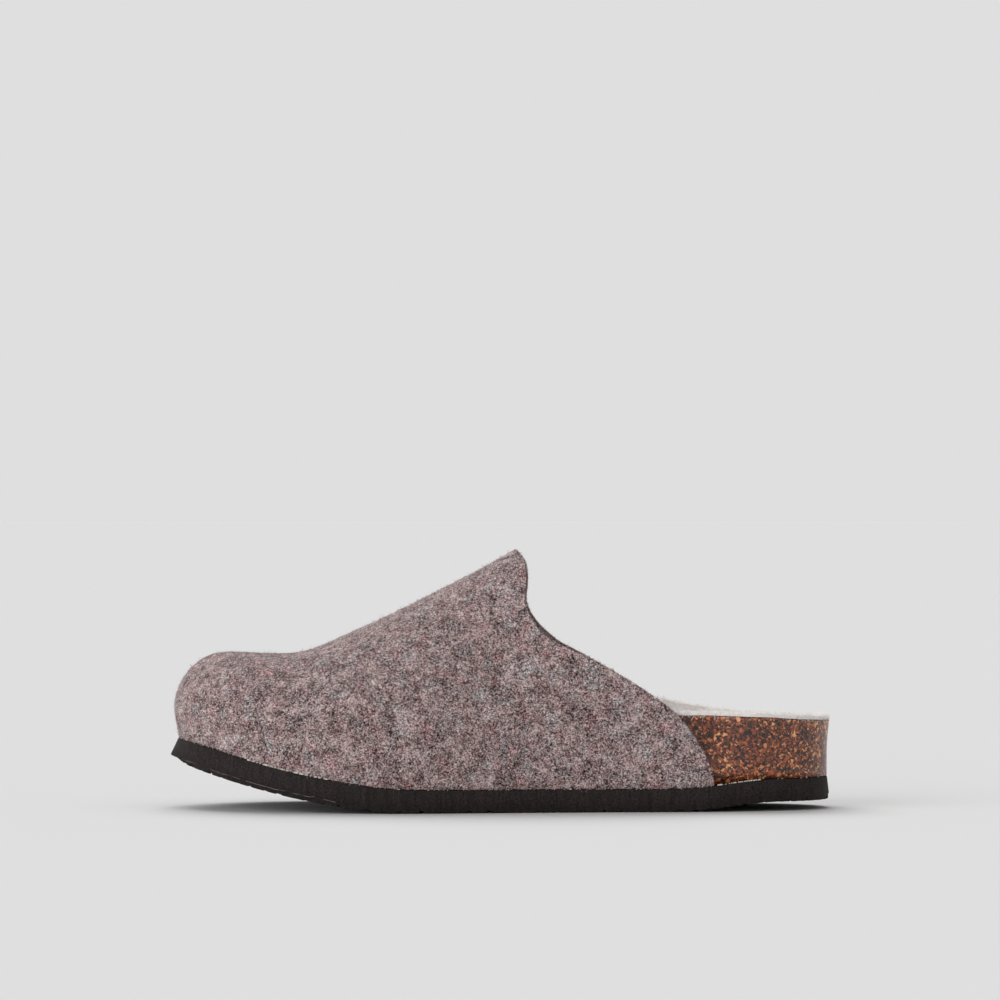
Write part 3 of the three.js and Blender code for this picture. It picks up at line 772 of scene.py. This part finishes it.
class ClogFeltSettings(bpy.types.PropertyGroup):
    thickness: length_setting("Thickness", "Thickness of the felt", FELT)
    hair_length: length_setting("Hair length", "Longest fibre that lies on the felt", 1.4)
    hair_width: length_setting("Hair width", "Widest fibre on the felt, drawn coarse enough to show", 0.18)
    hairs: count_setting("Hairs", "Lying fibres of each colour", 45000)
    stray_hairs: count_setting("Stray hairs", "Long fibres that stand off", 15000)
    pale: colour_setting("Pale wool", "Lightest fibres of the melange", "#ece0de")
    middle: colour_setting("Middle wool", "Main tone of the melange", "#8f7876")
    dark: colour_setting("Dark wool", "Darkest fibres of the melange", "#211516")
    rust: colour_setting("Rust wool", "Reddish blotches", "#96585c")
    slate: colour_setting("Slate wool", "Bluish blotches", "#70787a")
    # Painted shade: this colour darkens the collar's cut edge and the top of its inside face, where shade
    # falls.
    edge: colour_setting("Cut edge", "Felt where it is cut at the collar", "#5a4540")


class ClogCorkSettings(bpy.types.PropertyGroup):
    granule: length_setting("Granule", "Width of the larger cork granules", 1.3)
    binder: colour_setting("Binder", "Latex between the granules", "#1f120f")
    body: colour_setting("Cork", "Darker tone of the cork", "#4c2a1d")
    warm: colour_setting("Warm cork", "Lighter tone of the cork", "#86462d")
    chip: colour_setting("Chip", "Granules that stand out", "#c26534")
    chip_pale: colour_setting("Pale chip", "Palest granules", "#f2b07a")


class ClogSoleSettings(bpy.types.PropertyGroup):
    foam: colour_setting("Foam", "Colour of the outsole", "#201a19")
    # Painted highlight: the pale colour of the flash ridge stands in for light caught along the tread band's
    # upper edge.
    pale: colour_setting("Flash", "Dusty skin left by the knife at the joint of sheet and tread", "#6e6660")
    glue: colour_setting("Glue", "Crumbs of dried latex on the ledge, dull and milky", "#e0dacf")
    sipe: length_setting("Sipe", "Width of the fine cut in each lug of the tread", 0.8)
    flash: length_setting("Flash length", "How far the pale skin shows from the toe", 66)


class ClogPileSettings(bpy.types.PropertyGroup):
    wool: colour_setting("Wool", "Tips of the pile", "#fffbf8")
    # Painted shade: the colour that the hollows between the curls are darkened to.
    curl_painted_shade: colour_setting("Shade", "Depth between the curls", "#ead8d0")
    rim: length_setting("Rim", "Thickness of the pile where it is clipped short over the rim", 1.5)
    hairs: count_setting("Hairs", "Fibres of the pile", 60000)
    hair_length: length_setting("Hair length", "Longest fibre of the pile", 3.0)


class ClogStageSettings(bpy.types.PropertyGroup):
    backdrop: colour_setting("Backdrop", "Pale grey of the background", "#dfdfdf")
    paper: colour_setting("Paper", "Matte paper on the floor, as pale as the backdrop once lit", "#e7e7e7")
    key_power: power_setting("Key light", "Strength of the main light", 1.72)
    fill_power: power_setting("Fill light", "Strength of the front light", 1.65)
    sky_power: power_setting("Sky light", "Strength of the even light", 0.36)


SETTINGS = {
    "clog_felt": ClogFeltSettings,
    "clog_cork": ClogCorkSettings,
    "clog_sole": ClogSoleSettings,
    "clog_pile": ClogPileSettings,
    "clog_stage": ClogStageSettings,
}


# Pieces

# Soft troughs (negative) and ridges of the felt: side (0 is both), middle as shares of
# SHOE_LENGTH and INSTEP_HEIGHT, length and width in mm, turn in degrees, depth in mm.
FELT_FOLDS = [
    (0, 0.965, 0.57, 14, 14, 0, -0.5),
    (0, 0.86, 0.62, 26, 14, 0, -0.9),
    (0, 0.775, 0.68, 12, 12, 0, -0.35),
    (0, 0.53, 1.0, 12, 14, 0, -0.5),
    (OUTER, 0.80, 0.52, 22, 9, -8, -0.7),
    (OUTER, 0.70, 0.42, 26, 10, 28, -0.5),
    (OUTER, 0.88, 0.40, 16, 8, 10, 0.5),
    (OUTER, 0.42, 0.45, 30, 12, -35, -0.6),
    (OUTER, 0.55, 0.25, 34, 10, 4, 0.5),
    (INNER, 0.78, 0.50, 24, 9, -12, -0.7),
    (INNER, 0.60, 0.45, 30, 12, 24, -0.5),
    (INNER, 0.40, 0.35, 30, 12, -30, -0.5),
]


def felt_outer_grid():
    """Rows over the foot from the outer feather line to the inner, the first folded flat at the toe's tip."""
    climb = np.arange(FELT_CLIMB + 1) / FELT_CLIMB
    ends = {side: collar_station(side, climb) for side in (OUTER, INNER)}
    ends[OUTER][-1] = ends[INNER][-1] = (ends[OUTER][-1] + ends[INNER][-1]) / 2
    halves = {}
    for side in (OUTER, INNER):
        rows = [rib_point(*[part[:, None] for part in fan_station(side, i / FELT_FAN)], climb)
                for i in range(FELT_FAN + 1)]
        for i in range(1, FELT_CROSS + 1):
            x = mix(CROSS_START, ends[side], i / FELT_CROSS)
            rows.append(rib_point(*cross_station(side, x), climb))
        halves[side] = np.array(rows).transpose(0, 2, 1)
    return np.concatenate([halves[OUTER], halves[INNER][:, -2::-1]], 1)


def felt_folds(points):
    """Depth of the folds at points of the outer face, measured outwards."""
    depth = np.zeros(len(points))
    for side, along, up, length, width, turn, deep in FELT_FOLDS:
        x = points[:, 0] - (HEEL_X - along * SHOE_LENGTH)
        z = points[:, 2] - up * INSTEP_HEIGHT
        cos, sin = math.cos(math.radians(turn)), math.sin(math.radians(turn))
        near = np.exp(-((x * cos + z * sin) / length) ** 2 - ((z * cos - x * sin) / width) ** 2)
        depth += deep * near * (ease(points[:, 1] * side / 12) if side else 1)
    return depth


class CLOG_OT_felt_upper(bpy.types.Operator):
    """Builds the felt upper with its thickness, folds, cut edge and fibres"""

    bl_idname = "clog.felt_upper"
    bl_label = "Felt upper"

    def execute(self, context):
        felt = context.scene.clog_felt
        thickness = felt.thickness * 1000
        grid = felt_outer_grid()
        rows, columns = grid.shape[:2]
        names = np.arange(rows * columns).reshape(rows, columns)
        names[0, FELT_CLIMB + 1:] = names[0, FELT_CLIMB - 1::-1]
        points = grid.reshape(-1, 3)
        wool = felt_material(felt)
        skin = make_object("felt_skin", points, grid_faces(names), wool)
        normals = read_rows(skin.data.vertices, "normal").astype(float)
        bpy.data.objects.remove(skin)
        normals *= np.sign((normals * (points - points.mean(0))).sum(1).mean())
        wave = felt_folds(points) + uneven(points, FELT_WAVES)
        height = points[:, 2] - sole_top(points[:, 0])
        wave *= ease(height / WAVE_FADE)
        outside = points + normals * (wave + uneven(points, FELT_GRAIN))[:, None]
        inside = points + normals * (wave - thickness)[:, None]
        feet = np.r_[names[:, 0], names[:, -1]]
        inside[feet, 2] = sole_top(inside[feet, 0]) + GLUE_GAP
        outside[feet, 2] = points[feet, 2]

        # The collar's cut edge is rounded by the scissors and swells a little.
        back = unit(outside[names[-1]] - outside[names[-4]])
        edge_rows = []
        for k in range(1, FELT_EDGE):
            share = (1 - math.cos(math.pi * k / FELT_EDGE)) / 2
            swell = CUT_SWELL * math.sin(math.pi * share) ** 0.6
            edge_rows.append(mix(outside[names[-1]], inside[names[-1]], share) + back * swell)
        edge = np.array(edge_rows)
        edge[:, [0, -1], 2] = points[names[-1]][[0, -1], 2]
        start = len(points)
        inner_names = names + start
        edge_names = (np.arange(edge.shape[0] * columns) + 2 * start).reshape(-1, columns)
        round_edge = np.concatenate([names[-1:], edge_names, inner_names[-1:]], 0)
        low, high = (np.stack([inner_names[:, k], names[:, k]]) for k in (0, -1))
        ends = [np.concatenate([[names[-1, k]], edge_names[:, k], [inner_names[-1, k]]]) for k in (0, -1)]
        faces = [list(f) for part in (
            grid_faces(names), grid_faces(inner_names)[:, ::-1], grid_faces(round_edge),
            grid_faces(low), grid_faces(high)[:, ::-1]) for f in part]
        faces += [ends[0].tolist(), ends[1][::-1].tolist()]
        skins = np.concatenate([outside, inside, edge.reshape(-1, 3)])
        body = make_object("felt_upper_wool", skins, faces, wool)
        # Painted shade: the cut edge gets 0.8 of the edge colour and the inside face's top row 0.5, standing in
        # for the shade inside the collar.
        cut_edge_shade_share = np.zeros(len(body.data.vertices))
        cut_edge_shade_share[edge_names.ravel()] = 0.8
        cut_edge_shade_share[inner_names[-1]] = 0.5
        body.data.attributes.new("cut_edge", "FLOAT", "POINT").data.foreach_set("value", cut_edge_shade_share)
        weld(body)
        dress(body, "felt_upper")

        rng = np.random.default_rng(FELT_SEED)

        def shown(centre, normal):
            hidden = (normal[:, 2] < -0.9) & (centre[:, 2] < sole_top(centre[:, 0]) + 1)
            return np.where(hidden, 0.0, 1.0)

        # Dyed wool fibres, matte.
        longest, widest = felt.hair_length * 1000, felt.hair_width * 1000
        for name, layer in HAIR_BLOTCHES.items():
            def blotched(centre, normal):
                return shown(centre, normal) * np.clip(1 + uneven(centre, [layer]), 0.2, None)

            dyed = plain_material("dyed_wool_" + name, getattr(felt, name), DYE_VARY)
            hairs = fibres("felt_hairs_" + name, body, felt.hairs, rng, blotched, (0.35 * longest, longest),
                           (0.5 * widest, widest), lambda count: rng.exponential(0.2, count), dyed)
            dress(hairs, "felt_upper")

        # Longer, finer fibres that stand off the felt.
        dyed = plain_material("dyed_wool_stray", felt.pale, DYE_VARY)
        stray = fibres("felt_hairs_stray", body, felt.stray_hairs, rng, shown, STRAY_LENGTHS, STRAY_WIDTHS,
                       lambda count: rng.gamma(2.0, 0.36, count), dyed, bends=3)
        dress(stray, "felt_upper")
        return {"FINISHED"}


class CLOG_OT_cork_footbed(bpy.types.Operator):
    """Builds the cork footbed with its flared heel rim"""

    bl_idname = "clog.cork_footbed"
    bl_label = "Cork footbed"

    def execute(self, context):
        cork = context.scene.clog_cork

        def level(up, rim_share_of_inset):
            def inset(x, side):
                return mix(cork_base_inset(x, side), cork_rim_inset(x, side), rim_share_of_inset)

            def height(x, side):
                return mix(sole_top(x) + GLUE_GAP, cork_top(x, side), up)

            return edge_level(inset, 1, height, SOLE_STATIONS)

        # Rows by their share of the height. The side flares out above the middle and is rounded at the rim.
        ups = [1, 0.985, 0.95, 0.9, 0.84, 0.76, 0.66, 0.55, 0.4, 0.2, 0]
        levels = [level(up, ease((up - 0.45) / 0.75) * 1.25 - 0.03 * (up == 1)) for up in ups]
        top = across(levels[0], 24, cork_top)
        bottom = across(levels[-1], 6, lambda x, share: sole_top(x) + GLUE_GAP)
        body = loop_object("cork_footbed_block", sole_loops(levels, top, bottom), cork_material(cork))
        dress(body, "cork_footbed")
        return {"FINISHED"}


class CLOG_OT_pile_insole(bpy.types.Operator):
    """Builds the pile insole with its curls and fibres"""

    bl_idname = "clog.pile_insole"
    bl_label = "Pile insole"

    def execute(self, context):
        pile = context.scene.clog_pile
        rim = pile.rim * 1000

        def under(x, share):
            return cork_top(x, share) + GLUE_GAP

        def over(x, share):
            return under(x, share) + mix(PILE_BED, rim, rim_share(x, share, OUTER_CUP))

        def level(inset, thick):
            return edge_level(lambda x, side: cork_rim_inset(x, side) + inset, 1,
                              lambda x, side: under(x, side) + thick, SOLE_STATIONS)

        levels = [level(PILE_EDGE_ROUND, rim), level(0.35, rim * 0.85), level(0.05, rim * 0.55),
                  level(0.0, rim * 0.2), level(0.15, 0.05 - GLUE_GAP)]
        top = across(levels[0], 70, over)
        bottom = across(levels[-1], 16, under)
        loops = sole_loops(levels, top, bottom)
        face = loops[:, :top.shape[1]]
        face[..., 2] += uneven(face.reshape(-1, 3), PILE_CURLS).reshape(face.shape[:2])
        body = loop_object("pile_insole_knit", loops, pile_material(pile))
        dress(body, "pile_insole")

        rng = np.random.default_rng(PILE_SEED)

        def shown(centre, normal):
            return np.where(normal[:, 2] > -0.2, 1.0, 0.0) * np.where(centre[:, 0] > 0, 1.5, 0.7)

        # Scoured, undyed pile wool: pale and even.
        scoured = plain_material("scoured_pile_wool", pile.wool, 0.05)
        longest = pile.hair_length * 1000
        hairs = fibres("pile_insole_hairs", body, pile.hairs, rng, shown, (0.4 * longest, longest), PILE_WIDTHS,
                       lambda count: rng.gamma(2.0, 0.15, count), scoured)
        dress(hairs, "pile_insole")
        return {"FINISHED"}


def tip_inset(x):
    """The tread starts a little behind the toe's tip."""
    return TREAD_TIP_INSET * ease((TOE_X + TREAD_TIP_LENGTH - x) / TREAD_TIP_LENGTH)


def heel_rim_inset(x):
    """The heel's upper rim is trimmed flush with the cork."""
    return HEEL_RIM_INSET * ease((x - HEEL_X + HEEL_RIM_LENGTH) / HEEL_RIM_LENGTH)


def zigzag(y):
    """How far the tread's grooves swing towards the heel at y."""
    return TREAD_ZIGZAG * (2 * np.abs(np.abs(y) / TREAD_ZIGZAG_STEP % 2 - 1) - 1)


def edge_notches(side, rng):
    """Heights of the ragged notches along the tread's lower edge, as a function of x."""
    spots, heights = [0.0], [0.0]
    while spots[-1] < RUNS[side][-1]:
        start = spots[-1] + rng.uniform(1.5, 6)
        width, height = rng.uniform(1.2, 3.2), rng.uniform(0.2, 1.0) ** 1.3 * 1.3
        spots += [start, start + 0.3, start + width - 0.2, start + width]
        heights += [0, height, height * rng.uniform(0.6, 1), 0]
    return lambda x: np.interp(np.interp(x, FEATHER[side][0], RUNS[side]), spots, heights)


def lug_solids(edges):
    """Zigzag bars between pairs of edges, cut off at the outline, as points and faces."""
    halves = plan_halves(lambda x, side: LUG_INSET + tip_inset(x), 0)
    y = np.arange(-BALL_WIDTH / 2, BALL_WIDTH / 2, 0.5)
    points, faces = [], []
    for front, back in zip(edges[::2], edges[1::2]):
        steps = np.linspace(front, back, 41)
        x = steps[None] + zigzag(y)[:, None]
        low = np.interp(x, halves[OUTER][0], halves[OUTER][1], left=99, right=99)
        high = np.interp(x, halves[INNER][0], halves[INNER][1], left=-99, right=-99)
        within = (y[:, None] > low) & (y[:, None] < high)
        first = x[np.arange(len(y)), within.argmax(1)]
        last = x[np.arange(len(y)), len(steps) - 1 - within[:, ::-1].argmax(1)]
        kept = within.any(1) & (last - first > 0.6)
        for group in np.split(np.arange(len(y)), np.flatnonzero(np.diff(kept.astype(int))) + 1):
            if len(group) < 4 or not kept[group[0]]:
                continue
            ring = []
            for edge, chamfer, deep in ((first, -1, 1), (first, 1, 0), (last, -1, 0), (last, 1, 1)):
                at = edge[group] + chamfer * LUG_CHAMFER
                ring.append(np.stack([at, y[group], underside(at) + deep * (TREAD_DEPTH + LUG_CHAMFER)], 1))
            ring = np.stack(ring, 1)
            names = np.arange(len(group) * 4).reshape(-1, 4) + sum(len(p) for p in points)
            points.append(ring.reshape(-1, 3))
            faces += tube_faces(names)
    return np.concatenate(points), faces


class CLOG_OT_outsole(bpy.types.Operator):
    """Builds the outsole with its cut side, ragged tread edge and zigzag lugs"""

    bl_idname = "clog.outsole"
    bl_label = "Outsole"

    def execute(self, context):
        sole = context.scene.clog_sole
        sipe = sole.sipe * 1000
        rng = np.random.default_rng(SOLE_SEED)
        notches = {side: edge_notches(side, rng) for side in (OUTER, INNER)}

        def rows(x, side):
            """Inset and height above the underside of each row down the side."""
            full, tip, rim = sole_top(x) - underside(x), tip_inset(x), heel_rim_inset(x)
            ragged = np.where(side < 0, notches[OUTER](x), notches[INNER](x))
            return [
                (0.2 + rim, full), (rim, 0.96 * full), (rim / 2, mix(TREAD_BAND, full, 0.5)),
                (0 * x, TREAD_BAND + 0.15 - 0.4 * tip), (0.3 + 0.4 * tip, TREAD_BAND - 0.1 - 0.4 * tip),
                (0.35 + tip, ragged + 0.15), (0.5 + tip, ragged), (1.5 + tip, ragged),
                (1.6 + tip, TREAD_DEPTH + 0 * x)]

        # Each row leans back with the toe by this share of the upper edge's lean.
        leans = [1.0, 0.96, 0.5, -0.2, 0.0, 0.0, 0.0, 0.0, 0.0]
        levels = [edge_level(lambda x, side: rows(x, side)[k][0], lean,
                             lambda x, side: underside(x) + rows(x, side)[k][1], EDGE_STATIONS)
                  for k, lean in enumerate(leans)]
        top = across(levels[0], 6, lambda x, share: sole_top(x))
        bottom = across(levels[-1], 6, lambda x, share: underside(x) + TREAD_DEPTH)
        eva = eva_material(sole)
        dress(loop_object("outsole_sheet", sole_loops(levels, top, bottom), eva), "outsole")

        # Front and back of each bar of the tread: grooves part the lugs, and a sipe halves each lug.
        edges = [TOE_X]
        for i in range(GROOVES + 1):
            middle = (i - GROOVES / 2) * TREAD_PITCH
            edges += [middle - TREAD_GROOVE / 2, middle + TREAD_GROOVE / 2]
            if i < GROOVES:
                edges += [middle + (TREAD_PITCH - sipe) / 2, middle + (TREAD_PITCH + sipe) / 2]

        # A ragged flash ridge marks the joint of sheet and tread round the toe; the ridge is modelled, and its
        # pale colour is a painted highlight along the tread band's upper edge.
        points, faces = [], []
        for side in (OUTER, INNER):
            joint = plan_halves(lambda x, side: 0.1 + 0.4 * tip_inset(x), 0)[side]
            x = np.linspace(TOE_X + 4, TOE_X + sole.flash * 1000, 260)
            px, py, out_x, out_y = point_at(joint, joint[0], x)
            line = np.stack([px, py, px * 0], 1)
            proud = np.clip(0.12 + uneven(line, FLASH_PROUD), 0.0, 0.4)
            middle = underside(px) + TREAD_BAND + uneven(line, FLASH_WANDER)
            for off, up in ((-0.6, 0.0), (0, 0.2), (1, 0.08), (1, -0.05), (0, -0.2)):
                reach = proud * max(off, 0) + min(off, 0)
                height = middle + up * (proud > 0.02)
                points.append(np.stack([px + out_x * reach, py + out_y * reach, height], 1))
            names = np.arange(5 * len(x)).reshape(5, -1).T + (side == INNER) * 5 * len(x)
            faces += tube_faces(names)
        flash = make_object("outsole_flash", np.concatenate(points), faces,
                            plain_material("trimmed_foam_skin", sole.pale, 0.25))
        weld(flash)
        dress(flash, "outsole")
        lugs = make_object("outsole_lugs", *lug_solids(edges + [HEEL_X]), eva, smooth=False)
        dress(lugs, "outsole")
        return {"FINISHED"}


# Crumbs of dried glue on the ledge round the upper and footbed: side, x from and to in mm, how many, and the
# widest in mm. A crumb is a stack of rings, each with its height and width as shares of half the crumb's width.
CRUMB_RINGS = [(-0.2, 1.0), (0.6, 0.9), (1.1, 0.4)]
CRUMB_CORNERS = 6
GLUE_RUNS = [
    (OUTER, -98, -66, 80, 1.0),
    (OUTER, 84, 101, 46, 0.8),
    (OUTER, -120, 128, 110, 0.5),
    (INNER, -90, -40, 70, 0.8),
    (INNER, -120, 128, 110, 0.5),
]


class CLOG_OT_glue_line(bpy.types.Operator):
    """Scatters crumbs of dried glue along the ledge of the outsole"""

    bl_idname = "clog.glue_line"
    bl_label = "Glue line"

    def execute(self, context):
        rng = np.random.default_rng(GLUE_SEED)
        points, faces = [], []
        turns = np.arange(CRUMB_CORNERS) * 2 * math.pi / CRUMB_CORNERS
        names = np.arange(len(CRUMB_RINGS) * CRUMB_CORNERS).reshape(-1, CRUMB_CORNERS)
        for side, first, last, count, widest in GLUE_RUNS:
            half = FEATHER[side]
            for x in rng.uniform(first, last, count):
                px, py, out_x, out_y = point_at(half, half[0], x)
                shift = rng.uniform(0.1, 0.5)
                centre = np.array([px + out_x * shift, py + out_y * shift, sole_top(px) + 0.12])
                size = rng.uniform(0.35, 1) * widest / 2
                flat = rng.uniform(0.3, 0.7)
                faces += tube_faces(len(points) + names)
                for level, width in CRUMB_RINGS:
                    for cx, cy in zip(np.cos(turns), np.sin(turns)):
                        jitter = rng.uniform(0.7, 1.2) * size * width
                        along = np.array([-out_y, out_x]) * cx * jitter
                        off = np.array([out_x, out_y]) * cy * jitter * flat
                        points.append([*(centre[:2] + along + off), centre[2] + level * size])
        crumbs = make_object("glue_crumbs", np.array(points), faces,
                             plain_material("dried_latex_glue", context.scene.clog_sole.glue, 0.25))
        weld(crumbs)
        dress(crumbs, "outsole", replaced=False)
        return {"FINISHED"}


class CLOG_OT_stage(bpy.types.Operator):
    """Builds the pale floor, the soft light and the camera"""

    bl_idname = "clog.stage"
    bl_label = "Stage"

    def execute(self, context):
        stage = context.scene.clog_stage
        scene = context.scene
        scene.view_settings.view_transform = "Standard"

        paper = new_material("matte_paper")
        finish_material(paper, {"Base Color": (*stage.paper, 1), "Roughness": 1.0, "Specular IOR Level": 0.0})
        # Just below the tread, so that the two never lie in one plane.
        far, level = 30000, -0.05
        corners = [(-far, -far, level), (far, -far, level), (far, far, level), (-far, far, level)]
        make_object("floor", corners, [(0, 1, 2, 3)], paper)

        world = emptied(bpy.data.worlds.new("studio"))
        seen = add_node(world, "LightPath").outputs["Is Camera Ray"]
        lit = add_node(world, "Background", {"Color": (1, 1, 1, 1), "Strength": stage.sky_power})
        shown = add_node(world, "Background", {"Color": (*stage.backdrop, 1), "Strength": 1.0})
        both = add_node(world, "MixShader", {0: seen, 1: lit.outputs[0], 2: shown.outputs[0]})
        add_node(world, "OutputWorld", {"Surface": both.outputs[0]})
        scene.world = world

        for name, toward, power, spread in (
            ("key", (-0.2, 0.75, 1.0), stage.key_power, 50),
            ("fill", (-1.0, -0.9, 0.3), stage.fill_power, 60),
        ):
            sun = bpy.data.lights.new(name, "SUN")
            sun.energy, sun.angle = power, math.radians(spread)
            new_object(name, sun).rotation_euler = Vector(toward).to_track_quat("Z", "Y").to_euler()

        # The photo's camera is level, 2.2 m in front of the shoe and 120.4 mm above the floor.
        camera = bpy.data.cameras.new("camera")
        camera.sensor_width, camera.lens = 36.0, 202.0
        camera.clip_start, camera.clip_end = 0.1, 100.0
        eye = scene.camera = new_object("camera", camera)
        eye.location, eye.rotation_euler = (0.0, -2.2, 0.1204), (math.radians(90), 0.0, 0.0)
        return {"FINISHED"}


OPERATORS = [CLOG_OT_outsole, CLOG_OT_cork_footbed, CLOG_OT_pile_insole, CLOG_OT_felt_upper,
             CLOG_OT_glue_line, CLOG_OT_stage]


class CLOG_PT_panel(bpy.types.Panel):
    bl_idname = "CLOG_PT_panel"
    bl_label = "Clog slipper"
    bl_space_type = "VIEW_3D"
    bl_region_type = "UI"
    bl_category = "Clog"

    def draw(self, context):
        for operator in OPERATORS:
            self.layout.operator(operator.bl_idname)
        for name, group in SETTINGS.items():
            box = self.layout.box()
            for setting in group.__annotations__:
                box.prop(getattr(context.scene, name), setting)


def register():
    for made in (*SETTINGS.values(), *OPERATORS, CLOG_PT_panel):
        bpy.utils.register_class(made)
    for name, group in SETTINGS.items():
        setattr(bpy.types.Scene, name, bpy.props.PointerProperty(type=group))


def unregister():
    for name in SETTINGS:
        delattr(bpy.types.Scene, name)
    for made in reversed((*SETTINGS.values(), *OPERATORS, CLOG_PT_panel)):
        bpy.utils.unregister_class(made)


def main():
    register()
    bpy.ops.clog.outsole()
    bpy.ops.clog.cork_footbed()
    bpy.ops.clog.pile_insole()
    bpy.ops.clog.felt_upper()
    bpy.ops.clog.glue_line()
    bpy.ops.clog.stage()


if __name__ == "__main__":
    main()
